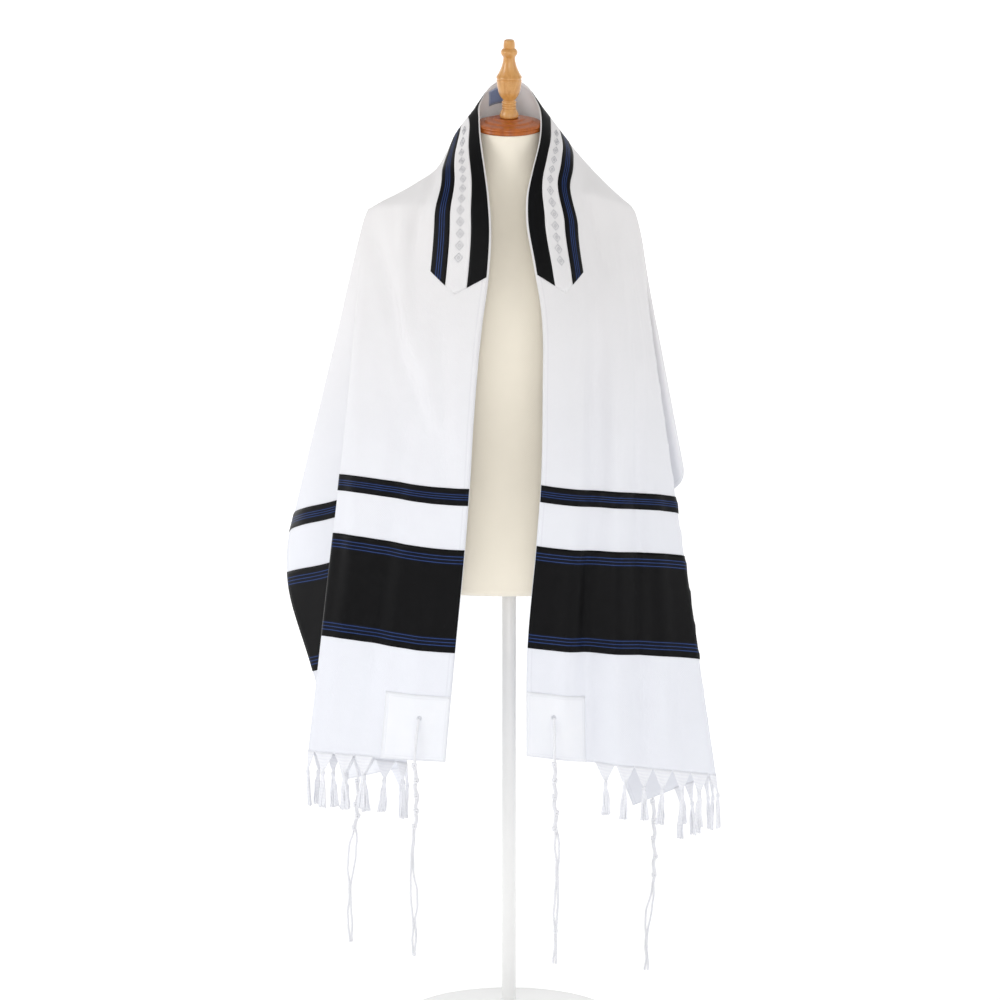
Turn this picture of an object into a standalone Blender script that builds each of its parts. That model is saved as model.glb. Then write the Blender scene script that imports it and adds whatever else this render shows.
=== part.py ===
"""A tallit prayer shawl draped over the shoulders of a limbless dress form on a pole stand.

Metres, +Z up. The origin is on the floor under the pole, the front faces -Y and the wearer's
right side is at -X. The shawl is one long cloth. A place on it is given by two lengths:
s runs from the centre of the back along the cloth to either fringed end, and u runs across
it from the neck edge to the outer long edge. Each side is worked out from three short tables:
the neck edge, the shoulder ridge, and the fan of hanging folds below the end of the shoulder.
"""

import math

import bmesh
import bpy
import numpy as np

# The cloth, from edge to edge, and what is sewn on it.
HALF_LENGTH = 1.010
CLOTH_WIDTH = 0.550
CLOTH_WALL = 0.0016
SEWN_WALL = 0.0010
SEAM_GAP = 0.0004
EDGE_MARGIN = 0.0025

# The neckband: two dark satin ribbons with a light strip between them, and pointed ends.
NECKBAND_INNER = 0.025
NECKBAND_TIP = 0.0395
NECKBAND_OUTER = 0.053
NECKBAND_WIDTH = 0.075
NECKBAND_CORNER = 0.352
NECK_LABEL = (-0.038, -0.005, 0.008, 0.032)  # inside the back neck: s from and to, u from and to
NECKBAND_ASKEW = {"left": 0.008, "right": 0.018}  # how much sooner its outer edge ends
NECKBAND_POINT = 0.028

# The satin bands across both ends, measured from the fringed edge.
END_PANEL = 0.150
WIDE_BAND = 0.140
BAND_SPACE = 0.060
NARROW_BAND = 0.023

# The corner patches, each with an eyelet for its knotted strings.
PATCH_SIZE = 0.090
EYELET_FROM_SIDE = 0.040
EYELET_FROM_END = 0.058

# The fringe on both ends, between the corner patches.
TASSEL_PITCH = 0.0285
STRIP_DEPTH = 0.006
TASSEL_ROOT = 0.003
TASSEL_LEAN = 0.006  # a tassel faces as the edge does this far to both sides of it

# The dress form and its stand.
TORSO_BOTTOM = 0.625
NECK_TOP = 1.2633
NECK_TILT = math.radians(14)
POLE_RADIUS = 0.010
BASE_RADIUS = 0.150
BASE_HEIGHT = 0.010
TOUCH_GAP = 0.0003

# The neck edge from the centre of the back to the fringed end: out from the middle, y, z.
NECK_EDGE = {
    "left": [
        (0.0000, 0.062, 1.333),
        (0.0120, 0.060, 1.332),
        (0.0250, 0.050, 1.324),
        (0.0380, 0.026, 1.303),
        (0.0405, -0.012, 1.279),
        (0.0385, -0.044, 1.249),
        (0.0330, -0.070, 1.210),
        (0.0275, -0.091, 1.171),
        (0.0245, -0.107, 1.130),
        (0.0274, -0.121, 1.068),
        (0.0370, -0.129, 0.995),
        (0.0480, -0.131, 0.872),
        (0.0537, -0.131, 0.776),
        (0.0600, -0.130, 0.694),
        (0.0735, -0.128, 0.552),
        (0.0875, -0.124, 0.400),
    ],
    "right": [
        (0.0000, 0.062, 1.333),
        (0.0120, 0.060, 1.332),
        (0.0250, 0.050, 1.324),
        (0.0370, 0.026, 1.303),
        (0.0430, -0.010, 1.277),
        (0.0415, -0.038, 1.250),
        (0.0310, -0.071, 1.206),
        (0.0235, -0.088, 1.172),
        (0.0225, -0.099, 1.145),
        (0.0330, -0.120, 1.078),
        (0.0427, -0.128, 1.020),
        (0.0450, -0.131, 0.900),
        (0.0430, -0.131, 0.787),
        (0.0370, -0.130, 0.704),
        (0.0246, -0.128, 0.560),
        (0.0235, -0.124, 0.408),
    ],
}

# How much the neckband's cloth is gathered where it comes over the collar bones.
NECK_GATHER = {"left": 0.25, "right": 0.42}

# The shoulder ridge, where the cloth turns over to the back. Each row: s, u of the ridge,
# its place (out, y, z), how the cloth leaves it (degrees outwards, degrees backwards),
# how far the shoulder blade pushes the back out, and how full the front is.
# The last row is the end of the shoulder, where the fan of folds begins.
RIDGE = {
    "left": [
        (0.000, 0.016, 0.000, 0.068, 1.318, 0.0, 7.5, 0.028, 0.000),
        (0.018, 0.016, 0.014, 0.065, 1.317, 0.3, 7.5, 0.028, 0.000),
        (0.050, 0.016, 0.036, 0.045, 1.308, 1.5, 8.0, 0.030, 0.000),
        (0.090, 0.021, 0.055, 0.018, 1.285, 3.0, 10.0, 0.036, 0.002),
        (0.125, 0.074, 0.074, 0.012, 1.259, 4.0, 11.5, 0.048, 0.004),
        (0.160, 0.102, 0.104, 0.005, 1.207, 3.5, 14.5, 0.048, 0.009),
        (0.190, 0.135, 0.135, 0.000, 1.187, 2.5, 17.0, 0.032, 0.014),
        (0.247, 0.194, 0.197, 0.000, 1.1570, 0.5, 20.5, 0.000, 0.018),
    ],
    "right": [
        (0.000, 0.016, 0.000, 0.068, 1.318, 0.0, 7.5, 0.028, 0.000),
        (0.018, 0.016, 0.014, 0.065, 1.317, 0.3, 7.5, 0.028, 0.000),
        (0.050, 0.016, 0.036, 0.045, 1.308, 2.5, 8.0, 0.030, 0.000),
        (0.090, 0.021, 0.053, 0.018, 1.287, 5.0, 10.0, 0.036, 0.002),
        (0.125, 0.074, 0.079, 0.012, 1.252, 7.0, 11.5, 0.048, 0.004),
        (0.160, 0.110, 0.112, 0.005, 1.214, 6.0, 15.0, 0.044, 0.009),
        (0.190, 0.146, 0.145, 0.000, 1.181, 4.5, 18.5, 0.026, 0.014),
        (0.217, 0.182, 0.174, 0.000, 1.1565, 3.5, 20.5, 0.000, 0.018),
    ],
}

# The fan of folds that hangs from the end of the shoulder. Each row: the angle in the flat
# cloth from the s direction, and where that line hangs (degrees outwards and backwards from
# straight down). The first row is the front crease, and the last one starts the back.
FAN = {
    "left": [
        (0.4, 6.5, -4.5),
        (8.0, 1.2, -2.8),
        (14.0, -3.9, -0.5),
        (20.0, -0.6, 4.2),
        (24.7, 2.7, 8.0),
        (31.0, 7.5, 12.4),
        (37.0, 12.2, 17.2),
        (43.0, 13.4, 22.6),
        (50.0, 9.0, 21.4),
        (56.0, 4.8, 17.6),
        (61.5, 3.0, 19.4),
        (67.0, 5.2, 23.2),
        (73.0, 7.2, 26.2),
        (81.0, 4.0, 27.0),
        (90.0, 0.5, 20.5),
    ],
    "right": [
        (7.6, 8.4, -4.5),
        (13.0, 6.9, 0.0),
        (19.0, 4.0, 4.0),
        (24.3, 0.9, 7.0),
        (30.0, -4.0, 9.0),
        (37.0, -8.0, 12.5),
        (44.0, -5.5, 15.0),
        (51.0, 0.5, 15.5),
        (58.0, 6.0, 14.5),
        (65.0, 10.4, 12.5),
        (72.0, 11.0, 17.5),
        (80.0, 7.5, 21.5),
        (90.0, 3.5, 20.5),
    ],
}
FAN_ROUND = {"left": 11.0, "right": 8.0}  # degrees of bulge outwards near the shoulder
FOLDS_FROM = 0.02  # the folds grow in between these distances from the shoulder's end
FOLDS_FULL = 0.22

# How far the front panel stands out between its edge and its crease: s, fullness.
FRONT_FULLNESS = [(0.22, 0.018), (0.40, 0.020), (0.60, 0.013), (0.85, 0.009), (1.01, 0.006)]

# How far the cloth beyond the crease has slid up, or down: s, metres.
SLIDE = [(0.24, 0.0), (0.45, 0.011), (0.64, 0.017), (0.72, 0.018), (0.86, 0.014), (1.01, 0.001)]

# Troughs of the front panels: side, s from and to, u at each end, half width, depth.
TROUGHS = [
    ("right", 0.36, 1.06, 0.083, 0.100, 0.034, 0.010),
    ("left", 0.22, 0.36, 0.088, 0.118, 0.022, 0.006),
    ("left", 0.30, 0.62, 0.178, 0.075, 0.040, 0.006),
]

# Rows of the cloth's mesh past the shoulder's end, as shares of the way to its end, and
# whether the row goes on as a ring round the fan.
LOWER_ROWS = [
    (0.06, True),
    (0.11, True),
    (0.16, False),
    (0.21, True),
    (0.27, False),
    (0.33, True),
    (0.39, False),
    (0.45, True),
    (0.51, False),
    (0.57, True),
    (0.62, False),
    (0.67, True),
    (0.72, False),
    (0.77, True),
    (0.82, False),
    (0.87, True),
    (0.935, False),
    (1.00, True),
]
UPPER_ROWS = 8
RAY_SPACING = 3.4  # degrees between the fan's rays
RAY_CLEAR = 1.3  # degrees that they keep from the rays through a sewn piece's corners
FRONT_COLUMNS = 3
LEAST_FRONT = 0.024  # the least width between the neckband's edge and the ridge's rail
CREASE_RAIL = 0.009  # the rail beside the crease is this near it
SOFTENED = 0.009  # folds are rounded over this much cloth to both sides
SLIVER = 1e-9  # facets of a sewn piece that are smaller than this, in square metres, go
WELD = 0.00002  # corners that are nearer than this in the flat cloth are one

# Cross sections of the torso: z, half width, depth to the front, depth to the back.
TORSO = [
    (0.625, 0.149, 0.103, 0.103),
    (0.658, 0.150, 0.103, 0.102),
    (0.705, 0.142, 0.099, 0.096),
    (0.762, 0.127, 0.092, 0.085),
    (0.830, 0.115, 0.087, 0.077),
    (0.890, 0.120, 0.096, 0.080),
    (0.940, 0.130, 0.105, 0.083),
    (0.990, 0.139, 0.106, 0.084),
    (1.040, 0.146, 0.097, 0.080),
    (1.080, 0.150, 0.084, 0.071),
    (1.110, 0.150, 0.072, 0.061),
    (1.135, 0.143, 0.061, 0.053),
    (1.155, 0.125, 0.055, 0.047),
    (1.170, 0.100, 0.051, 0.044),
    (1.184, 0.077, 0.049, 0.043),
    (1.200, 0.059, 0.047, 0.043),
    (1.222, 0.048, 0.045, 0.043),
    (1.2633, 0.0435, 0.0435, 0.043),
]
TORSO_SIDES = 40

# Turned profiles, top to bottom: radius, height above the foot of each piece.
FINIAL = [
    (0.0000, 0.1082),
    (0.0056, 0.1079),
    (0.0072, 0.1064),
    (0.0078, 0.1036),
    (0.0081, 0.0975),
    (0.0073, 0.0962),
    (0.0098, 0.0950),
    (0.0117, 0.0918),
    (0.0113, 0.0883),
    (0.0090, 0.0853),
    (0.0081, 0.0834),
    (0.0086, 0.0781),
    (0.0104, 0.0715),
    (0.0126, 0.0659),
    (0.0154, 0.0604),
    (0.0174, 0.0576),
    (0.0181, 0.0556),
    (0.0164, 0.0538),
    (0.0176, 0.0522),
    (0.0171, 0.0487),
    (0.0163, 0.0426),
    (0.0150, 0.0360),
    (0.0128, 0.0306),
    (0.0100, 0.0266),
    (0.0078, 0.0240),
    (0.0096, 0.0226),
    (0.0104, 0.0206),
    (0.0088, 0.0190),
    (0.0104, 0.0172),
    (0.0088, 0.0155),
    (0.0103, 0.0138),
    (0.0092, 0.0120),
    (0.0112, 0.0092),
    (0.0128, 0.0055),
    (0.0133, 0.0022),
    (0.0126, 0.0000),
    (0.0000, 0.0000),
]
NECK_CAP = [
    (0.0000, 0.0162),
    (0.0195, 0.0160),
    (0.0213, 0.0150),
    (0.0225, 0.0140),
    (0.0312, 0.0136),
    (0.0332, 0.0126),
    (0.0345, 0.0112),
    (0.0428, 0.0104),
    (0.0456, 0.0088),
    (0.0466, 0.0066),
    (0.0453, 0.0050),
    (0.0465, 0.0034),
    (0.0468, 0.0018),
    (0.0456, 0.0000),
    (0.0000, 0.0000),
]
TURNED_STEPS = 28

# A tassel from its root down: distance, half width, half thickness.
TASSEL = [
    (0.000, 0.0118, 0.0017),
    (0.010, 0.0078, 0.0018),
    (0.021, 0.0027, 0.0019),
    (0.024, 0.0036, 0.0034),
    (0.028, 0.0034, 0.0032),
    (0.031, 0.0028, 0.0022),
    (0.050, 0.0050, 0.0026),
    (0.068, 0.0063, 0.0028),
]

# Knotted strings: corner, length of the wound part below the hem, whole length below the hem,
# the sway at each quarter of the length, and how far the two loose strands stand from their
# middle at each eighth of the loose part, in millimetres.
STRINGS = [
    (
        ("front_left", "left", "front", 0.095, 0.270),
        (0.002, -0.004, -0.001, -0.002),
        (0.8, 0.9, 1.2, 2.0, 4.6, 4.2, 0.9, 2.8, 0.9),
    ),
    (
        ("rear_left", "left", "rear", 0.078, 0.240),
        (-0.003, -0.010, -0.013, -0.012),
        (0.8, 4.8, 5.4, 4.4, 0.9, 0.9, 2.6, 3.0, 0.9),
    ),
    (
        ("front_right", "right", "front", 0.100, 0.285),
        (0.001, 0.004, 0.002, 0.001),
        (0.8, 3.2, 1.4, 0.9, 2.2, 2.6, 0.9, 0.9, 2.2),
    ),
    (
        ("rear_right", "right", "rear", 0.118, 0.255),
        (0.002, 0.001, -0.008, -0.008),
        (0.8, 0.9, 2.6, 4.2, 3.0, 0.9, 0.9, 0.9, 2.6),
    ),
]
STRING_RADIUS = 0.0032
STRAND_RADIUS = 0.0019
STRING_CLEAR = 0.001
WINDINGS = 5

COLOURS = {
    "white wool": (0.80, 0.80, 0.82, 0.85),
    "black satin": (0.012, 0.012, 0.016, 0.45),
    "patch cotton": (0.86, 0.86, 0.88, 0.8),
    "fringe yarn": (0.82, 0.82, 0.84, 0.9),
    "cream jersey": (0.82, 0.75, 0.62, 0.9),
    "turned beech": (0.52, 0.25, 0.09, 0.4),
    "stained beech": (0.36, 0.13, 0.045, 0.4),
    "white paint": (0.75, 0.75, 0.75, 0.5),
    "woven label": (0.35, 0.40, 0.50, 0.8),
}

SIGN = {"left": -1.0, "right": 1.0}  # of x, and of s where the halves meet


def clear_scene():
    for thing in list(bpy.data.objects):
        bpy.data.objects.remove(thing)


def make_collections():
    model = bpy.data.collections.new("prayer_shawl_on_dress_form")
    cutters = bpy.data.collections.new("cutters")
    for collection in (model, cutters):
        bpy.context.scene.collection.children.link(collection)
    return model, cutters


def material(name):
    if name in bpy.data.materials:
        return bpy.data.materials[name]
    red, green, blue, rough = COLOURS[name]
    made = bpy.data.materials.new(name)
    made.use_nodes = True
    shader = made.node_tree.nodes["Principled BSDF"]
    shader.inputs["Base Color"].default_value = (red, green, blue, 1)
    shader.inputs["Roughness"].default_value = rough
    return made


def add_object(name, points, faces, finish, collection):
    mesh = bpy.data.meshes.new(name)
    mesh.from_pydata([tuple(map(float, p)) for p in points], [], faces)
    mesh.materials.append(material(finish))
    thing = bpy.data.objects.new(name, mesh)
    collection.objects.link(thing)
    return thing


def read_table(places, rows, at):
    """The smooth curve through the rows of a table, read at one place."""
    places, rows = np.asarray(places, float), np.asarray(rows, float)
    slopes = np.gradient(rows, places, axis=0)
    i = int(np.clip(np.searchsorted(places, at) - 1, 0, len(places) - 2))
    h = places[i + 1] - places[i]
    t = np.clip((at - places[i]) / h, 0, 1)
    return (
        (2 * t**3 - 3 * t**2 + 1) * rows[i]
        + (t**3 - 2 * t**2 + t) * h * slopes[i]
        + (3 * t**2 - 2 * t**3) * rows[i + 1]
        + (t**3 - t**2) * h * slopes[i + 1]
    )


def ease(low, high, at):
    t = np.clip((at - low) / (high - low), 0, 1)
    return t * t * (3 - 2 * t)


def unit(vector):
    return vector / np.linalg.norm(vector)


def hang(outwards, backwards):
    """A unit vector that hangs that many degrees out and back from straight down."""
    x, y = math.sin(math.radians(outwards)), math.sin(math.radians(backwards))
    return np.array([x, y, -math.sqrt(1 - x * x - y * y)])


# ---------------------------------------------------------------- the draped cloth


class ClothSide:
    """One half of the shawl, with x outwards from the middle until it is signed."""

    def __init__(self, name):
        self.name = name
        self.sign = SIGN[name]
        edge = np.array(NECK_EDGE[name])
        steps = np.linalg.norm(np.diff(edge, axis=0), axis=1)
        along = np.concatenate([[0], np.cumsum(steps)])
        self.edge_s = along * HALF_LENGTH / along[-1]
        self.edge = edge
        self.ridge = np.array(RIDGE[name])
        self.fan = np.array(FAN[name])
        self.s_shoulder = self.ridge[-1, 0]
        self.u_shoulder = self.ridge[-1, 1]
        self.shoulder = self.ridge[-1, 2:5]
        self.crease = math.radians(self.fan[0, 0])

    def u_crease(self, s):
        """How far across the cloth the ridge and, below the shoulder, the crease lie at s."""
        if s < self.s_shoulder:
            return read_table(self.ridge[:, 0], self.ridge[:, 1], s)
        return self.u_shoulder + (s - self.s_shoulder) * math.tan(self.crease)

    def folded(self, angle, reach):
        """The direction in which the line at that angle of the flat cloth hangs."""
        first, last = self.fan[0], self.fan[-1]
        fold = read_table(self.fan[:, 0], self.fan[:, 1:], angle)
        t = np.clip((angle - first[0]) / (last[0] - first[0]), 0, 1)
        plain = first[1:] + (last[1:] - first[1:]) * t
        plain[0] += FAN_ROUND[self.name] * math.sin(math.pi * t)
        share = ease(FOLDS_FROM, FOLDS_FULL, reach)
        return hang(*(plain + (fold - plain) * share))

    def fan_point(self, s, u):
        ds, du = s - self.s_shoulder, u - self.u_shoulder
        reach = math.hypot(ds, du)
        angle = math.degrees(math.atan2(du, ds)) if reach > 1e-9 else self.fan[0, 0]
        return self.shoulder + reach * self.folded(angle, reach)

    def front_point(self, s, u, u_turn, turn, fullness):
        edge = read_table(self.edge_s, self.edge, s)
        across = turn - edge
        out = np.array([across[1], -across[0], 0])
        out = out / max(np.linalg.norm(out), 1e-9)
        t = u / u_turn
        gathered = NECK_GATHER[self.name] * ease(0.11, 0.17, s) * (1 - ease(0.20, 0.27, s))
        t -= gathered * t * (1 - t)
        depth = 4 * t * (1 - t) * fullness
        for name, s_from, s_to, u_from, u_to, width, deep in TROUGHS:
            if name == self.name:
                middle = u_from + (u_to - u_from) * (s - s_from) / (s_to - s_from)
                near = max(0, 1 - abs(u - middle) / width)
                grown = ease(s_from, s_from + 0.12, s) * (1 - ease(s_to - 0.05, s_to, s))
                depth -= deep * near * near * (3 - 2 * near) * grown
        return edge + across * t + out * depth

    def sharp_point(self, s, u):
        """Where the place (s, u) hangs, with its folds still sharp."""
        if s <= self.s_shoulder:
            row = read_table(self.ridge[:, 0], self.ridge[:, 1:], s)
            u_turn, turn = row[0], row[1:4]
            outwards, backwards, blade, fullness = row[4:]
            if u <= u_turn:
                return self.front_point(s, u, u_turn, turn, fullness)
            down = u - u_turn
            swell = math.sin(math.pi * min(1, down / (CLOTH_WIDTH - u_turn)))
            return turn + down * hang(outwards, backwards) + np.array([0, blade * swell, 0])
        u_turn = self.u_crease(s)
        stations = [row[0] for row in SLIDE]
        slide = read_table(stations, [row[1] for row in SLIDE], s)
        s = max(self.s_shoulder, s - slide * ease(0, u_turn, u))
        if u > u_turn:
            return self.fan_point(s, u)
        u_turn = self.u_crease(s)
        turn = self.fan_point(s, u_turn)
        stations = [row[0] for row in FRONT_FULLNESS]
        fullness = read_table(stations, [row[1] for row in FRONT_FULLNESS], s)
        return self.front_point(s, u, u_turn, turn, fullness)

    def point(self, s, u):
        """Where the place (s, u) of the flat cloth hangs, rounded and with its real x."""
        reach = min(SOFTENED, u, CLOTH_WIDTH - u)
        middle = self.sharp_point(s, u)
        if reach > 0:
            beside = self.sharp_point(s, u - reach) + self.sharp_point(s, u + reach)
            middle = middle / 2 + beside / 4
        return middle * np.array([self.sign, 1, 1])

    def outward(self, s, u):
        """The cloth's outward normal at (s, u)."""
        step = 0.004
        along = self.point(s, u) - self.point(s - step, u)
        across = self.point(s, u + step / 2) - self.point(s, u - step / 2)
        return unit(np.cross(along, across)) * self.sign

    def upper_rows(self):
        return [self.s_shoulder * i / UPPER_ROWS for i in range(UPPER_ROWS + 1)]

    def lower_rows(self):
        return [self.s_shoulder + t * (HALF_LENGTH - self.s_shoulder) for t, _ in LOWER_ROWS]

    def last_rail(self, s):
        return max(self.u_crease(s), NECKBAND_WIDTH + LEAST_FRONT)

    def rails(self, s):
        """The u of each column of the front at s."""
        band_end = NECKBAND_CORNER + NECKBAND_POINT
        share = ease(band_end, HALF_LENGTH - PATCH_SIZE, s)
        inner = NECKBAND_WIDTH + (PATCH_SIZE - NECKBAND_WIDTH) * share
        last = self.last_rail(s)
        before = last - CREASE_RAIL
        rails = [0, NECKBAND_INNER, NECKBAND_TIP, NECKBAND_OUTER, inner]
        rails += [
            inner + (before - inner) * i / FRONT_COLUMNS
            for i in range(1, FRONT_COLUMNS + 1)
        ]
        return rails + [last]

    def angles(self):
        """The fan's rays: evenly spaced, and through the corners of what is sewn there."""
        over = CLOTH_WIDTH - self.u_shoulder
        patch_over = over - PATCH_SIZE
        corners = [(patch_over, HALF_LENGTH), (patch_over, HALF_LENGTH - PATCH_SIZE)]
        corners += [(over, s) for band in band_spans().values() for s in band]
        corners += [(over, HALF_LENGTH), (over, HALF_LENGTH - PATCH_SIZE)]
        first = self.fan[0, 0]
        through = [
            math.degrees(math.atan2(du, s - self.s_shoulder)) for du, s in corners
        ]
        through += [first, 90.0]
        count = round((90 - first) / RAY_SPACING)
        even = [first + (90 - first) * i / count for i in range(1, count)]
        even = [a for a in even if min(abs(a - b) for b in through) > RAY_CLEAR]
        return sorted(set(through + even))

    def ray_place(self, angle, ring):
        """Where a ring crosses a ray, as (s, u)."""
        lower, over = HALF_LENGTH - self.s_shoulder, CLOTH_WIDTH - self.u_shoulder
        if angle <= math.degrees(math.atan2(over, lower)) + 1e-9:
            ds = ring * lower
            return self.s_shoulder + ds, self.u_shoulder + ds * math.tan(math.radians(angle))
        du = ring * over
        return self.s_shoulder + du / math.tan(math.radians(angle)), self.u_shoulder + du

    def cells(self):
        """The cells of the flat half cloth, each a list of (s, u) corners."""
        upper = self.upper_rows()
        lower = self.lower_rows()
        cells = []
        front = [[(s, u) for u in self.rails(s)] for s in upper + lower]
        rings = [0.0] + [share for share, ring in LOWER_ROWS if ring]
        back = []
        for s in upper:
            start = self.last_rail(s)
            back.append([(s, start + ring * (CLOTH_WIDTH - start)) for ring in rings])
        for grid in (front, back):
            for one, two in zip(grid, grid[1:]):
                for j in range(len(one) - 1):
                    cells.append([one[j], one[j + 1], two[j + 1], two[j]])
        rays = [[self.ray_place(angle, ring) for ring in rings] for angle in self.angles()]
        for k, (one, two) in enumerate(zip(rays, rays[1:])):
            for i in range(len(rings) - 1):
                between = []
                if k == 0:  # the front's rows that are no rings end on this ray
                    between = [
                        (s, self.u_crease(s)) for s in lower if one[i][0] < s < one[i + 1][0]
                    ]
                    between = [p for p in between if one[i + 1][0] - p[0] > 1e-6]
                cells.append([one[i], *between, one[i + 1], two[i + 1], two[i]])
        return cells


def band_spans():
    """The satin bands' names and where each one starts and ends along s."""
    wide_end = HALF_LENGTH - END_PANEL
    wide_start = wide_end - WIDE_BAND
    narrow_end = wide_start - BAND_SPACE
    return {
        "wide_band": (wide_start, wide_end),
        "narrow_band": (narrow_end - NARROW_BAND, narrow_end),
    }


def flat_area(corners):
    return 0.5 * sum(
        a[0] * b[1] - b[0] * a[1] for a, b in zip(corners, corners[1:] + corners[:1])
    )


def clip(corners, outline):
    """The part of a flat polygon inside a convex outline; extra values are interpolated."""
    for a, b in zip(outline, outline[1:] + outline[:1]):
        kept = []
        sides = [
            (b[0] - a[0]) * (c[1] - a[1]) - (b[1] - a[1]) * (c[0] - a[0]) for c in corners
        ]
        for i, corner in enumerate(corners):
            j = i - 1
            if (sides[i] > 0) != (sides[j] > 0) and abs(sides[i] - sides[j]) > 1e-15:
                t = sides[j] / (sides[j] - sides[i])
                kept.append(corners[j] + (corner - corners[j]) * t)
            if sides[i] > 0:
                kept.append(corner)
        corners = kept
        if len(corners) < 3:
            return []
    return corners


class Welder:
    """Collects polygons, with one vertex for each place of the flat cloth."""

    def __init__(self):
        self.index, self.places, self.faces = {}, [], []

    def add(self, corners):
        face = []
        for corner in corners:
            key = (round(corner[0] / WELD + 0.237), round(corner[1] / WELD + 0.371))
            if key not in self.index:
                self.index[key] = len(self.places)
                self.places.append(corner)
            if self.index[key] not in face:
                face.append(self.index[key])
        if len(face) > 2:
            self.faces.append(tuple(face))


def corner_normals(points, faces):
    """The unit normal at each point: the faces round it, weighted by their angles there."""
    normals = np.zeros((len(points), 3))
    for face in faces:
        corners = [np.array(points[i]) for i in face]
        middle = sum(corners) / len(face)
        turn = sum(np.cross(a - middle, b - middle) for a, b in zip(corners[-1:] + corners, corners))
        for i, here, before, after in zip(face, corners, corners[-1:] + corners, corners[1:] + corners):
            cosine = np.dot(unit(before - here), unit(after - here))
            normals[i] += unit(turn) * math.acos(max(-1, min(1, cosine)))
    return np.array([unit(n) for n in normals])


def add_shell(name, points, normals, faces, low, high, finish, collection):
    """A sheet between two heights over its points, measured along their normals."""
    points, count = np.array(points), len(points)
    both = [*(points + normals * low), *(points + normals * high)]
    skin = [tuple(face[::-1]) for face in faces]
    skin += [tuple(i + count for i in face) for face in faces]
    edges = {(a, b) for face in faces for a, b in zip(face, face[1:] + face[:1])}
    for a, b in sorted(edges):
        if (b, a) not in edges:
            skin.append((a, b, b + count, a + count))
    return add_object(name, both, skin, finish, collection)


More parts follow.
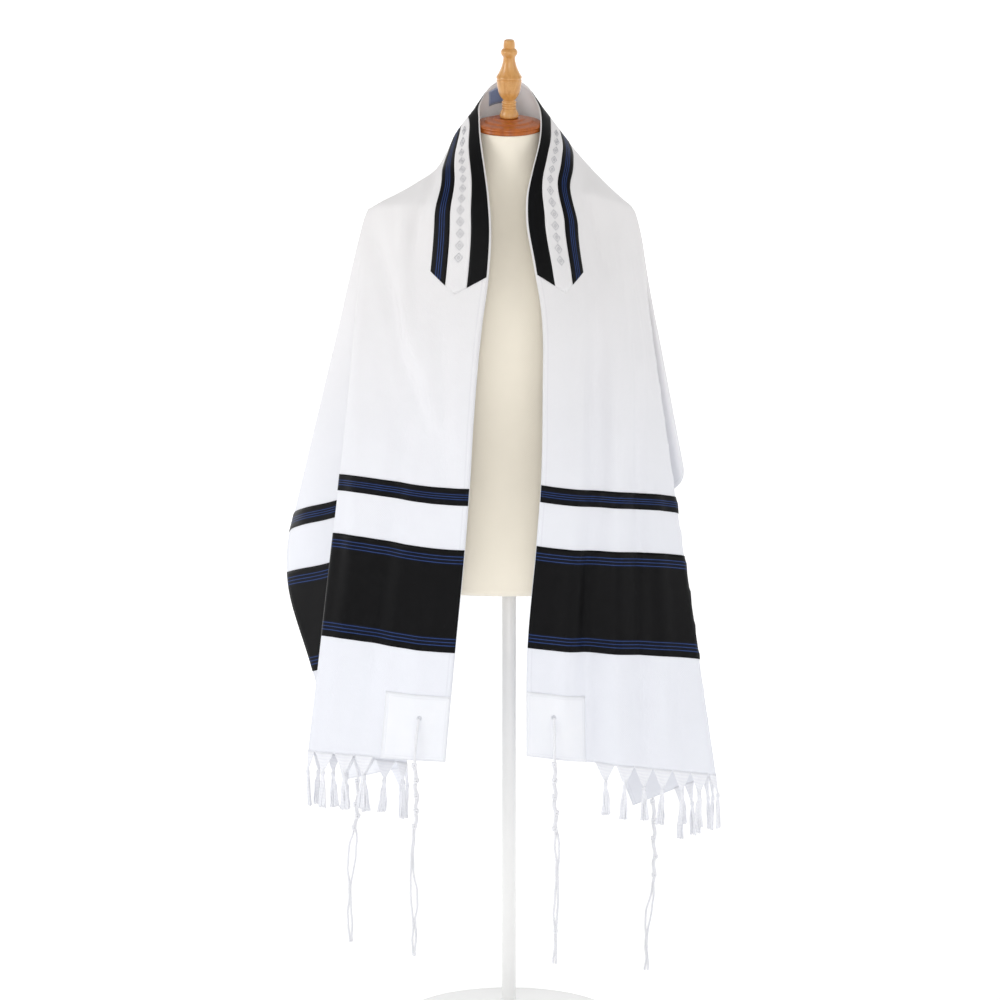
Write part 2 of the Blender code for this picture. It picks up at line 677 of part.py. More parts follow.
class Shawl:
    """The draped cloth, and the pieces on it, which are cut from its own facets."""

    def __init__(self, collection):
        self.collection = collection
        self.sides = {name: ClothSide(name) for name in ("left", "right")}
        weld = Welder()
        for side in self.sides.values():
            for cell in side.cells():
                corners = [(s * side.sign, u) for s, u in cell]
                if flat_area(corners) < 0:
                    corners.reverse()
                weld.add(corners)
        self.flat = np.array(weld.places)
        self.points = np.array([self.place(s, u) for s, u in weld.places])
        self.triangles = [t for face in weld.faces for t in self.split(face)]
        self.normals = corner_normals(self.points, self.triangles)
        half = CLOTH_WALL / 2
        surface = self.points, self.normals, self.triangles
        add_shell("shawl_cloth", *surface, -half, half, "white wool", collection)

    def place(self, s, u):
        return self.sides["left" if s < 0 else "right"].point(abs(s), u)

    def split(self, face):
        """A face as triangles, across the shorter way."""
        if len(face) == 3:
            return [face]
        if len(face) == 4:
            a, b, c, d = (self.points[i] for i in face)
            if np.linalg.norm(a - c) > np.linalg.norm(b - d):
                face = (*face[1:], face[0])
            return [(face[0], face[1], face[2]), (face[0], face[2], face[3])]
        flats = [tuple(self.flat[i]) for i in face]
        best = None
        for turn in range(len(face)):
            order = [(k + turn) % len(face) for k in range(len(face))]
            areas = [
                flat_area([flats[order[0]], flats[order[k]], flats[order[k + 1]]])
                for k in range(1, len(face) - 1)
            ]
            if best is None or min(areas) > best[0]:
                best = (min(areas), [face[k] for k in order])
        fan = best[1]
        return [(fan[0], fan[k], fan[k + 1]) for k in range(1, len(fan) - 1)]

    def add_sewn(self, name, outline, finish, inside_out=False):
        """A piece of that flat outline, a seam's gap above the cloth or under it."""
        if flat_area(outline) < 0:
            outline = outline[::-1]
        low = CLOTH_WALL / 2 + SEAM_GAP
        high = low + SEWN_WALL
        if inside_out:
            low, high = -high, -low
        known = np.hstack([self.flat, self.points, self.normals])
        weld = Welder()
        least, most = np.min(outline, axis=0), np.max(outline, axis=0)
        for triangle in self.triangles:
            corners = known[list(triangle)]
            if (corners[:, :2].max(0) < least).any() or (corners[:, :2].min(0) > most).any():
                continue
            inside = clip(list(corners), outline)
            if len(inside) > 2 and abs(flat_area(inside)) > SLIVER:
                weld.add(inside)
        places = np.array(weld.places)
        surface = places[:, 2:5], places[:, 5:], weld.faces
        add_shell(name, *surface, low, high, finish, self.collection)

    def add_neckband(self):
        def end(side, u):
            """Where the neckband ends at u on that side, with its point."""
            if u <= NECKBAND_TIP:
                share = u / NECKBAND_TIP
            else:
                share = (NECKBAND_WIDTH - u) / (NECKBAND_WIDTH - NECKBAND_TIP)
            askew = NECKBAND_ASKEW[side.name] * u / NECKBAND_WIDTH
            return side.sign * (NECKBAND_CORNER - askew + NECKBAND_POINT * share)

        gap = SEAM_GAP / 2
        strips = [
            ("neckband_inner_ribbon", EDGE_MARGIN, NECKBAND_INNER - gap, "black satin"),
            ("neckband_centre", NECKBAND_INNER + gap, NECKBAND_OUTER - gap, "white wool"),
            ("neckband_outer_ribbon", NECKBAND_OUTER + gap, NECKBAND_WIDTH, "black satin"),
        ]
        for name, low, high, finish in strips:
            stops = [low, high]
            if low < NECKBAND_TIP < high:
                stops = [low, NECKBAND_TIP, high]
            outline = [(end(self.sides["right"], u), u) for u in stops]
            outline += [(end(self.sides["left"], u), u) for u in stops[::-1]]
            self.add_sewn(name, outline, finish)

    def add_label(self):
        left, right, top, bottom = NECK_LABEL
        outline = [(left, top), (right, top), (right, bottom), (left, bottom)]
        self.add_sewn("neck_label", outline, "woven label", inside_out=True)

    def add_bands(self):
        for side in self.sides.values():
            for name, (start, stop) in band_spans().items():
                outline = [(start, 0), (stop, 0), (stop, CLOTH_WIDTH), (start, CLOTH_WIDTH)]
                outline = [(s * side.sign, u) for s, u in outline]
                self.add_sewn(f"{name}_{side.name}", outline, "black satin")

    def add_patches(self):
        start = HALF_LENGTH - PATCH_SIZE
        corners = {"front": (0, PATCH_SIZE), "rear": (CLOTH_WIDTH - PATCH_SIZE, CLOTH_WIDTH)}
        for side in self.sides.values():
            for place, (low, high) in corners.items():
                outline = [(start, low), (HALF_LENGTH, low), (HALF_LENGTH, high), (start, high)]
                outline = [(s * side.sign, u) for s, u in outline]
                self.add_sewn(f"corner_patch_{place}_{side.name}", outline, "patch cotton")


# ---------------------------------------------------------------- fringe and strings


def loft(name, rings, finish, collection):
    """A closed solid through rings of equal counts, with a cap at each end."""
    count = len(rings[0])
    points = [p for ring in rings for p in ring]
    faces = []
    for i in range(len(rings) - 1):
        for j in range(count):
            k = (j + 1) % count
            a, b = i * count, (i + 1) * count
            faces.append((a + j, a + k, b + k, b + j))
    last = (len(rings) - 1) * count
    faces.append(tuple(reversed(range(count))))
    faces.append(tuple(last + j for j in range(count)))
    solid = add_object(name, points, faces, finish, collection)
    turned = bmesh.new()
    turned.from_mesh(solid.data)
    bmesh.ops.recalc_face_normals(turned, faces=turned.faces)
    turned.to_mesh(solid.data)
    turned.free()
    return solid


def diamond(centre, wide, thick):
    """A four-sided ring about a centre, from its half width and half thickness vectors."""
    return [centre + wide, centre + thick, centre - wide, centre - thick]


def join_to(body, extras):
    """Fuse loose pieces onto a body, each with a union of its own."""
    for extra in extras:
        extra.hide_render = True
        extra.display_type = "WIRE"
        union = body.modifiers.new("fuse " + extra.name, "BOOLEAN")
        union.operation = "UNION"
        union.object = extra
        union.solver = "EXACT"


def add_fringe(shawl, side, cutters):
    """A narrow strip just past the fringed edge, with the tassels rooted in it."""
    ends = (PATCH_SIZE, CLOTH_WIDTH - PATCH_SIZE)
    hem = [u for s, u in shawl.flat if abs(s - side.sign * HALF_LENGTH) < 1e-6]
    along = sorted([u for u in hem if ends[0] + 1e-3 < u < ends[1] - 1e-3] + [*ends])
    corners = np.array([side.point(HALF_LENGTH, u) for u in along])
    before = np.array([side.point(HALF_LENGTH - 0.01, u) for u in along])

    def edge(u):
        """The edge there, and the way the cloth leaves it."""
        here = np.array([np.interp(u, along, column) for column in corners.T])
        above = np.array([np.interp(u, along, column) for column in before.T])
        return here, unit(here - above)

    count = len(along)
    ends_down = [edge(u) for u in along]
    tops = [here + down * SEAM_GAP for here, down in ends_down]
    bottoms = [here + down * (SEAM_GAP + STRIP_DEPTH) for here, down in ends_down]
    faces = [(i, i + 1, count + i + 1, count + i) for i in range(count - 1)]
    if side.sign > 0:
        faces = [face[::-1] for face in faces]
    surface = tops + bottoms, corner_normals(tops + bottoms, faces), faces
    half, finish = CLOTH_WALL / 2, "fringe yarn"
    strip = add_shell(f"fringe_{side.name}", *surface, -half, half, finish, shawl.collection)
    crease = side.u_crease(HALF_LENGTH)
    at = crease - TASSEL_PITCH * int((crease - ends[0]) / TASSEL_PITCH - 0.5)
    tassels = []
    while at < ends[1] - TASSEL_PITCH / 2:
        swing = math.sin(110 * at + side.sign)
        here, cloth_down = edge(at)
        wide = unit(edge(at + TASSEL_LEAN)[0] - edge(at - TASSEL_LEAN)[0])
        root = here + cloth_down * (SEAM_GAP + STRIP_DEPTH - TASSEL_ROOT)
        fall = unit(np.array([0.05 * swing, 0.02 * math.cos(80 * at), -1.0]))
        rings = []
        for distance, half_width, half_thick in TASSEL:
            settle = ease(0, 0.02, distance)
            way = unit(cloth_down * (1 - settle) + fall * settle)
            across = unit(wide - way * np.dot(wide, way))
            through = np.cross(across, way)
            centre = root + way * distance
            rings.append(diamond(centre, across * half_width, through * half_thick))
        name = f"tassel_{side.name}_{len(tassels):02d}"
        tassels.append(loft(name, rings, "fringe yarn", cutters))
        at += TASSEL_PITCH
    join_to(strip, tassels)


def add_string(shawl, row_values, cutters):
    """Knotted strings from one corner: a wound part, then two loose strands."""
    (name, side_name, corner, wound, length), sway, loops = row_values
    side = shawl.sides[side_name]
    u = EYELET_FROM_SIDE if corner == "front" else CLOTH_WIDTH - EYELET_FROM_SIDE
    lift = CLOTH_WALL / 2 + 2 * SEAM_GAP + SEWN_WALL + STRING_RADIUS + STRING_CLEAR
    eyelet, hem = [
        side.point(s, u) + side.outward(s, u) * lift
        for s in (HALF_LENGTH - EYELET_FROM_END, HALF_LENGTH)
    ]
    quarters = [0, 0.25, 0.5, 0.75, 1.0]
    sways = [0, *sway]

    def hanging(distance):
        aside = read_table(quarters, sways, distance / length)
        return hem + np.array([aside, 0, -distance])

    x, y = np.array([1.0, 0, 0]), np.array([0, 1.0, 0])
    rings = []
    for share in (0, 0.5, 0.9):
        centre = eyelet + (hem - eyelet) * share
        radius = STRAND_RADIUS if share < 0.9 else STRING_RADIUS * 0.8
        rings.append(diamond(centre, x * radius, y * radius))
    steps = 2 * WINDINGS
    for i in range(steps + 1):
        radius = STRING_RADIUS * (1.25 if i % 2 else 0.8)
        centre = hanging(0.004 + (wound - 0.004) * i / steps)
        rings.append(diamond(centre, x * radius, y * radius))
    body = loft(f"strings_{name}", rings, "fringe yarn", shawl.collection)
    strands = []
    for which in (-1, 1):
        rings = []
        for i, half_gap in enumerate(loops):
            distance = wound - 0.006 + (length - wound + 0.006) * i / (len(loops) - 1)
            apart = half_gap / 1000
            centre = hanging(min(distance, length)) + x * which * apart
            rings.append(diamond(centre, x * STRAND_RADIUS, y * STRAND_RADIUS))
        strands.append(loft(f"strand_{name}_{which}", rings, "fringe yarn", cutters))
    join_to(body, strands)


# ---------------------------------------------------------------- dress form and stand


def add_torso(collection):
    rings = []
    for z, half_width, front, back in TORSO:
        ring = []
        tilt = math.tan(NECK_TILT) * ease(TORSO[-4][0], NECK_TOP, z)
        for i in range(TORSO_SIDES):
            angle = 2 * math.pi * i / TORSO_SIDES
            x, y = half_width * math.cos(angle), math.sin(angle)
            y *= back if y > 0 else front
            ring.append(np.array([x, y, z + y * tilt]))
        rings.append(ring)
    torso = loft("form_torso", rings, "cream jersey", collection)
    torso.data.shade_smooth()


def add_turned(name, profile, foot, tilt, finish, collection):
    """A turned piece from its profile, with a Screw modifier about its own axis."""
    points = [(radius, 0, height) for radius, height in profile]
    mesh = bpy.data.meshes.new(name)
    edges = [(i, i + 1) for i in range(len(points) - 1)]
    mesh.from_pydata(points, edges, [])
    mesh.materials.append(material(finish))
    thing = bpy.data.objects.new(name, mesh)
    collection.objects.link(thing)
    screw = thing.modifiers.new("turn", "SCREW")
    screw.axis = "Z"
    screw.steps = screw.render_steps = TURNED_STEPS
    screw.use_merge_vertices = True
    screw.merge_threshold = 0.00005
    thing.location = foot
    thing.rotation_euler = (tilt, 0, 0)
    return thing


def add_head(collection):
    """The stained wooden cap on the neck and the turned finial on it."""
    foot = np.array([0, 0, NECK_TOP])
    axis = np.array([0, -math.sin(NECK_TILT), math.cos(NECK_TILT)])
    cap_foot = foot + axis * TOUCH_GAP
    add_turned(
        "neck_cap", NECK_CAP, cap_foot, NECK_TILT, "stained beech", collection
    )
    finial_foot = cap_foot + axis * (NECK_CAP[0][1] + TOUCH_GAP)
    add_turned("finial", FINIAL, finial_foot, NECK_TILT, "turned beech", collection)


def add_cylinder(name, radius, low, high, sides, finish, collection):
    bpy.ops.mesh.primitive_cylinder_add(
        vertices=sides,
        radius=radius,
        depth=high - low,
        location=(0, 0, (low + high) / 2),
    )
    thing = bpy.context.active_object
    thing.name = thing.data.name = name
    thing.data.materials.append(material(finish))
    for owner in list(thing.users_collection):
        owner.objects.unlink(thing)
    collection.objects.link(thing)
    return thing


def add_stand(collection):
    base = add_cylinder(
        "stand_base", BASE_RADIUS, 0, BASE_HEIGHT, 64, "white paint", collection
    )
    bevel = base.modifiers.new("edge", "BEVEL")
    bevel.width = 0.0015
    bevel.segments = 1
    add_cylinder(
        "stand_pole",
        POLE_RADIUS,
        BASE_HEIGHT + TOUCH_GAP,
        TORSO_BOTTOM - TOUCH_GAP,
        24,
        "white paint",
        collection,
    )


def main():
    clear_scene()
    model, cutters = make_collections()
    shawl = Shawl(model)
    shawl.add_neckband()
    shawl.add_label()
    shawl.add_bands()
    shawl.add_patches()
    for side in shawl.sides.values():
        add_fringe(shawl, side, cutters)
    for row_values in STRINGS:
        add_string(shawl, row_values, cutters)
    add_torso(model)
    add_head(model)
    add_stand(model)


main()
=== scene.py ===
"""A fringed prayer shawl draped over a limbless dress form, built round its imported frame."""

import math

import bmesh
import bpy
import numpy as np
from bpy.props import FloatProperty, FloatVectorProperty, IntProperty, PointerProperty
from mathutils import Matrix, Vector


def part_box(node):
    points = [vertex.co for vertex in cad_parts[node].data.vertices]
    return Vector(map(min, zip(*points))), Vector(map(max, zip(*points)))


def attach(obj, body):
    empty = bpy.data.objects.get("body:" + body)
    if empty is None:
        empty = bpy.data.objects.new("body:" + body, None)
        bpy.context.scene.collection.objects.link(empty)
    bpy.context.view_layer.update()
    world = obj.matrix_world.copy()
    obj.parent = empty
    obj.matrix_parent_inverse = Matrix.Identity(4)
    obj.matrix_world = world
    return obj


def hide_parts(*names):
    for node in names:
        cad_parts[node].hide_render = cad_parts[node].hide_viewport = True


bl_info = {
    "name": "Prayer Shawl on Dress Form",
    "version": (1, 0, 0),
    "blender": (4, 5, 0),
    "location": "View3D > Sidebar > Shawl",
    "description": "Builds a fringed prayer shawl draped on a dress form round its frame",
    "category": "Add Mesh",
}

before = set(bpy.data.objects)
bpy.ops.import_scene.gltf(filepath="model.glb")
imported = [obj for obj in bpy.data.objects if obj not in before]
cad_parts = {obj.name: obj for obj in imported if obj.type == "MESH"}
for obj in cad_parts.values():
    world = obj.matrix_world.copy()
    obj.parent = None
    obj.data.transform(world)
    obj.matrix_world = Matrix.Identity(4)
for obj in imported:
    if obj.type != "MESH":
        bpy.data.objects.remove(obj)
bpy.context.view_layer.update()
bpy.ops.object.select_all(action="DESELECT")

# ------------------------------------------------------------------ the cut of the shawl
# All sizes are in metres. A place on the flat cloth is (s, u): s runs along the cloth from
# the middle of the back, and u across it from the neck edge.

HALF_LENGTH = 1.010
CLOTH_WIDTH = 0.550
CAD_WALL = 0.0016  # the frame's cloth; what shows is thinner and lies in its middle
CLOTH_WALL = 0.0009
SEWN_WALL = 0.0006
SEAM_GAP = 0.0002
TURNED_IN = 0.0004  # how much narrower a band or patch is than the place cut for it
ON_SEWN = CLOTH_WALL / 2 + SEAM_GAP + SEWN_WALL  # the face of a sewn piece

NECKBAND_EDGE = 0.0025
NECKBAND_INNER = 0.025
NECKBAND_TIP = 0.0395
NECKBAND_OUTER = 0.053
NECKBAND_WIDTH = 0.075
NECKBAND_CORNER = 0.352
NECKBAND_POINT = 0.028
NECKBAND_ASKEW = {"left": 0.008, "right": 0.018}  # how much sooner its outer edge ends
NECK_LABEL = (-0.038, -0.005, 0.008, 0.032)  # s from and to, u from and to

END_PANEL = 0.150
WIDE_BAND = 0.140
BAND_SPACE = 0.060
NARROW_BAND = 0.023
WIDE_START = HALF_LENGTH - END_PANEL - WIDE_BAND
NARROW_START = WIDE_START - BAND_SPACE - NARROW_BAND

PATCH_SIZE = 0.090
EYELET_FROM_SIDE = 0.040
EYELET_FROM_END = 0.058

# The section of one stitch round an eyelet: outwards from its middle, above the patch.
EYELET_STITCH = ((0.0016, -0.0002), (0.0021, 0.0004), (0.0030, 0.0004), (0.0036, -0.0002))

LOZENGE_COUNT = 13
LOZENGE_FIRST = 0.128  # s of the first lozenge of each side
LOZENGE_PITCH = 0.0165
LOZENGE_MIDDLE = 0.039
LOZENGE_LONG, LOZENGE_WIDE = 0.0128, 0.0104

HELD_IN_HEM = 0.002
WEB_SHARE = 0.46  # half the width of a tassel's root, as a share of the spacing
FLAT_WEB = 0.012  # its yarns follow the cloth this far before they fall
KNOT_BELOW = 0.015
KNOT_WRAPS = 2.35
BUNCH_WIDE, BUNCH_DEEP = 0.0016, 0.0013  # half sizes of the bunch of yarns in the knot
TAIL_START = 0.006  # below the knot's middle
TAIL_LENGTH = 0.0415
TAIL_WIDE, TAIL_FLARE = 0.0026, 0.0034  # half width at its top, and how much it grows

STRING_CLEAR = CAD_WALL / 2 + 0.0048  # from the cloth's middle to that of a string
STRING_WAVE = 0.031  # length of one small bend of a string
STRING_SWAY, STRING_SWING = 0.0011, 0.0008  # how far it bends sideways and fore and aft
DOUBLED_STRING = (0.0012, 4, 0.010)  # radius of the ply's circle, plies, length of a turn
LOOSE_STRAND = (0.00105, 3, 0.016)
CORE_RADIUS = 0.0016
WOUND_STRETCHES = 4
WINDING_PITCH, WINDING_RADIUS, WINDING_THREAD = 0.0023, 0.0021, 0.00115
WOUND_KNOT = (0.0026, 0.0015)  # radius of its loops, radius of its thread
STRAND_KNOT = (0.0022, 0.0012)
UV_ROUND = 0.01  # the width of the UV map of every yarn, whatever its thickness

BLACK, NAVY, BLUE = "#08080A", "#0A0E1E", "#2B4173"

SIGN = {"left": -1.0, "right": 1.0}

# The neck edge from the middle of the back down to the hem: x outwards, y, z.
NECK_EDGE = {
    "left": [
        (0.0, 0.062, 1.333), (0.012, 0.06, 1.332), (0.025, 0.05, 1.324), (0.038, 0.026, 1.303),
        (0.0405, -0.012, 1.279), (0.0385, -0.044, 1.249), (0.033, -0.07, 1.21),
        (0.0275, -0.091, 1.171), (0.0245, -0.107, 1.13), (0.0274, -0.121, 1.068),
        (0.037, -0.129, 0.995), (0.048, -0.131, 0.872), (0.0537, -0.131, 0.776),
        (0.06, -0.13, 0.694), (0.0735, -0.128, 0.552), (0.0875, -0.124, 0.4),
    ],
    "right": [
        (0.0, 0.062, 1.333), (0.012, 0.06, 1.332), (0.025, 0.05, 1.324), (0.037, 0.026, 1.303),
        (0.043, -0.01, 1.277), (0.0415, -0.038, 1.25), (0.031, -0.071, 1.206),
        (0.0235, -0.088, 1.172), (0.0225, -0.099, 1.145), (0.033, -0.12, 1.078),
        (0.0427, -0.128, 1.02), (0.045, -0.131, 0.9), (0.043, -0.131, 0.787),
        (0.037, -0.13, 0.704), (0.0246, -0.128, 0.56), (0.0235, -0.124, 0.408),
    ],
}

# How much the neckband's cloth is gathered where it comes over the collar bones.
NECK_GATHER = {"left": 0.25, "right": 0.42}
GATHER_GROWS = (0.11, 0.17)  # s from and to
GATHER_FADES = (0.20, 0.27)

# The shoulder ridge, where the cloth turns over to the back. Each row: s, u of the ridge,
# its place (out, y, z), how the cloth leaves it (degrees outwards, degrees backwards),
# how far the shoulder blade pushes the back out, and how full the front is.
# The last row is the end of the shoulder, where the fan of folds begins.
RIDGE = {
    "left": [
        (0.0, 0.016, 0.0, 0.068, 1.318, 0.0, 7.5, 0.028, 0.0),
        (0.018, 0.016, 0.014, 0.065, 1.317, 0.3, 7.5, 0.028, 0.0),
        (0.05, 0.016, 0.036, 0.045, 1.308, 1.5, 8.0, 0.03, 0.0),
        (0.09, 0.021, 0.055, 0.018, 1.285, 3.0, 10.0, 0.036, 0.002),
        (0.125, 0.074, 0.074, 0.012, 1.259, 4.0, 11.5, 0.048, 0.004),
        (0.16, 0.102, 0.104, 0.005, 1.207, 3.5, 14.5, 0.048, 0.009),
        (0.19, 0.135, 0.135, 0.0, 1.187, 2.5, 17.0, 0.032, 0.014),
        (0.247, 0.194, 0.197, 0.0, 1.157, 0.5, 20.5, 0.0, 0.018),
    ],
    "right": [
        (0.0, 0.016, 0.0, 0.068, 1.318, 0.0, 7.5, 0.028, 0.0),
        (0.018, 0.016, 0.014, 0.065, 1.317, 0.3, 7.5, 0.028, 0.0),
        (0.05, 0.016, 0.036, 0.045, 1.308, 2.5, 8.0, 0.03, 0.0),
        (0.09, 0.021, 0.053, 0.018, 1.287, 5.0, 10.0, 0.036, 0.002),
        (0.125, 0.074, 0.079, 0.012, 1.252, 7.0, 11.5, 0.048, 0.004),
        (0.16, 0.11, 0.112, 0.005, 1.214, 6.0, 15.0, 0.044, 0.009),
        (0.19, 0.146, 0.145, 0.0, 1.181, 4.5, 18.5, 0.026, 0.014),
        (0.217, 0.182, 0.174, 0.0, 1.1565, 3.5, 20.5, 0.0, 0.018),
    ],
}

# The fan of folds that hangs from the end of the shoulder. Each row: the angle in the flat
# cloth from the s direction, and where that line hangs (degrees outwards and backwards from
# straight down). The first row is the front crease, and the last one starts the back.
FAN = {
    "left": [
        (0.4, 6.5, -4.5), (8.0, 1.2, -2.8), (14.0, -3.9, -0.5), (20.0, -0.6, 4.2),
        (24.7, 2.7, 8.0), (31.0, 7.5, 12.4), (37.0, 12.2, 17.2), (43.0, 13.4, 22.6),
        (50.0, 9.0, 21.4), (56.0, 4.8, 17.6), (61.5, 3.0, 19.4), (67.0, 5.2, 23.2),
        (73.0, 7.2, 26.2), (81.0, 4.0, 27.0), (90.0, 0.5, 20.5),
    ],
    "right": [
        (7.6, 8.4, -4.5), (13.0, 6.9, 0.0), (19.0, 4.0, 4.0), (24.3, 0.9, 7.0), (30.0, -4.0, 9.0),
        (37.0, -8.0, 12.5), (44.0, -5.5, 15.0), (51.0, 0.5, 15.5), (58.0, 6.0, 14.5),
        (65.0, 10.4, 12.5), (72.0, 11.0, 17.5), (80.0, 7.5, 21.5), (90.0, 3.5, 20.5),
    ],
}
FAN_ROUND = {"left": 11.0, "right": 8.0}  # degrees of bulge outwards near the shoulder
FOLDS_FROM = 0.02  # the folds grow in between these distances from the shoulder's end
FOLDS_FULL = 0.22

# How far the front panel stands out between its edge and its crease: s, fullness.
FRONT_FULLNESS = [(0.22, 0.018), (0.40, 0.020), (0.60, 0.013), (0.85, 0.009), (1.01, 0.006)]

# How far the cloth beyond the crease has slid up, or down: s, metres.
SLIDE = [(0.24, 0.0), (0.45, 0.011), (0.64, 0.017), (0.72, 0.018), (0.86, 0.014), (1.01, 0.001)]

TROUGH_GROWS, TROUGH_FADES = 0.12, 0.05  # over these lengths at its ends
# Troughs of the front panels: s from and to, u at each end, half width, depth.
TROUGHS = {
    "left": [
        (0.22, 0.36, 0.088, 0.118, 0.022, 0.006), (0.3, 0.62, 0.178, 0.075, 0.04, 0.006),
    ],
    "right": [
        (0.36, 1.06, 0.083, 0.1, 0.034, 0.01),
    ],
}
SOFTENED = 0.009  # folds are rounded over this much cloth to both sides

# Soft folds laid over the drape: s and u where each starts and ends, half width, and
# height (a trough is negative).
SOFT_FOLDS = {
    "left": [
        (0.19, 0.09, 0.31, 0.112, 0.014, -0.006), (0.26, 0.124, 0.47, 0.098, 0.018, 0.005),
        (0.3, 0.168, 0.57, 0.062, 0.026, -0.0085), (0.36, 0.19, 0.72, 0.16, 0.02, 0.0036),
        (0.42, 0.05, 0.66, 0.03, 0.02, -0.0034), (0.55, 0.095, 0.98, 0.12, 0.026, -0.0056),
        (0.62, 0.15, 1.0, 0.17, 0.024, 0.0036), (0.8, 0.05, 1.01, 0.045, 0.022, 0.003),
        (0.16, 0.18, 0.24, 0.19, 0.018, -0.0034), (0.1, 0.15, 0.22, 0.3, 0.03, -0.006),
        (0.05, 0.12, 0.1, 0.48, 0.034, 0.007), (0.0, 0.2, 0.03, 0.54, 0.028, -0.005),
        (0.13, 0.3, 0.17, 0.54, 0.03, 0.006),
    ],
    "right": [
        (0.19, 0.095, 0.33, 0.12, 0.018, -0.0046), (0.26, 0.092, 0.62, 0.098, 0.036, -0.009),
        (0.25, 0.14, 0.55, 0.15, 0.022, 0.0045), (0.28, 0.172, 0.5, 0.2, 0.018, -0.004),
        (0.34, 0.06, 0.6, 0.045, 0.02, -0.003), (0.4, 0.112, 1.0, 0.14, 0.022, 0.0036),
        (0.36, 0.15, 1.0, 0.176, 0.02, -0.0062), (0.6, 0.19, 1.0, 0.215, 0.022, 0.0034),
        (0.7, 0.06, 1.01, 0.055, 0.022, 0.0034), (0.76, 0.088, 1.01, 0.094, 0.02, -0.0034),
        (0.1, 0.14, 0.19, 0.28, 0.03, -0.006), (0.06, 0.18, 0.09, 0.54, 0.032, 0.0065),
        (0.12, 0.33, 0.15, 0.545, 0.026, -0.0055), (0.17, 0.3, 0.2, 0.54, 0.026, 0.005),
    ],
}

# The dress form's cross sections from the bottom up: height, half width, front, back.
TORSO = [
    (0.625, 0.149, 0.103, 0.103), (0.658, 0.15, 0.103, 0.102), (0.705, 0.142, 0.099, 0.096),
    (0.762, 0.127, 0.092, 0.085), (0.83, 0.115, 0.087, 0.077), (0.89, 0.12, 0.096, 0.08),
    (0.94, 0.13, 0.105, 0.083), (0.99, 0.139, 0.106, 0.084), (1.04, 0.146, 0.097, 0.08),
    (1.08, 0.15, 0.084, 0.071), (1.11, 0.15, 0.072, 0.061), (1.135, 0.143, 0.061, 0.053),
    (1.155, 0.125, 0.055, 0.047), (1.17, 0.1, 0.051, 0.044), (1.184, 0.077, 0.049, 0.043),
    (1.2, 0.059, 0.047, 0.043), (1.222, 0.048, 0.045, 0.043), (1.2633, 0.0435, 0.0435, 0.043),
]
NECK_TOP = TORSO[-1][0]
NECK_TILT = math.radians(14)
FORM_SIDES, FORM_RINGS = 112, 150
FORM_ROLL = 0.006  # radius of the rolled foot
TOUCH_GAP = 0.0003

# Lathe profiles: radius, height above the foot of each piece.
FINIAL = [
    (0.0, 0.1082), (0.0056, 0.1079), (0.0072, 0.1064), (0.0078, 0.1036), (0.0081, 0.0975),
    (0.0073, 0.0962), (0.0098, 0.095), (0.0117, 0.0918), (0.0113, 0.0883), (0.009, 0.0853),
    (0.0081, 0.0834), (0.0086, 0.0781), (0.0104, 0.0715), (0.0126, 0.0659), (0.0154, 0.0604),
    (0.0174, 0.0576), (0.0181, 0.0556), (0.0164, 0.0538), (0.0176, 0.0522), (0.0171, 0.0487),
    (0.0163, 0.0426), (0.015, 0.036), (0.0128, 0.0306), (0.01, 0.0266), (0.0078, 0.024),
    (0.0096, 0.0226), (0.0104, 0.0206), (0.0088, 0.019), (0.0104, 0.0172), (0.0088, 0.0155),
    (0.0103, 0.0138), (0.0092, 0.012), (0.0112, 0.0092), (0.0128, 0.0055), (0.0133, 0.0022),
    (0.0126, 0.0), (0.0, 0.0),
]
NECK_CAP = [
    (0.0, 0.0162), (0.0195, 0.016), (0.0213, 0.015), (0.0225, 0.014), (0.0312, 0.0136),
    (0.0332, 0.0126), (0.0345, 0.0112), (0.0428, 0.0104), (0.0456, 0.0088), (0.0466, 0.0066),
    (0.0453, 0.005), (0.0465, 0.0034), (0.0468, 0.0018), (0.0456, 0.0), (0.0, 0.0),
]

# Corner strings: side, corner, length wound and whole length below the hem; the sway at each
# quarter; and how far the two loose strands stand from their middle at each eighth of the
# loose part, in millimetres.
STRINGS = [
    (
        "left", "front", 0.095, 0.27, (0.002, -0.004, -0.001, -0.002),
        (0.8, 0.9, 1.2, 2.0, 4.6, 4.2, 0.9, 2.8, 0.9),
    ),
    (
        "left", "rear", 0.078, 0.24, (-0.003, -0.01, -0.013, -0.012),
        (0.8, 4.8, 5.4, 4.4, 0.9, 0.9, 2.6, 3.0, 0.9),
    ),
    (
        "right", "front", 0.1, 0.285, (0.001, 0.004, 0.002, 0.001),
        (0.8, 3.2, 1.4, 0.9, 2.2, 2.6, 0.9, 0.9, 2.2),
    ),
    (
        "right", "rear", 0.118, 0.255, (0.002, 0.001, -0.008, -0.008),
        (0.8, 0.9, 2.6, 4.2, 3.0, 0.9, 0.9, 0.9, 2.6),
    ),
]

CAMERA_LENS = 108.6
CAMERA_PLACE = (-0.0126, -4.2, 1.1894)
CAMERA_PITCH = math.radians(84)
LAMPS_AIM = (0.0, 0.0, 0.85)
LAMPS = (  # name, place, size, power
    ("key", (-3.4, -1.5, 2.4), 1.5, 33),
    ("fill", (3.2, -1.7, 1.5), 1.8, 12),
    ("front", (0.0, -4.6, 1.5), 1.6, 32),
    ("top", (0.0, 0.3, 3.4), 2.0, 5),
    ("back", (1.4, 2.6, 2.2), 2.0, 12),
    ("back left", (-2.4, 2.2, 1.6), 2.0, 7),
)

# ------------------------------------------------------------------ how the cloth hangs


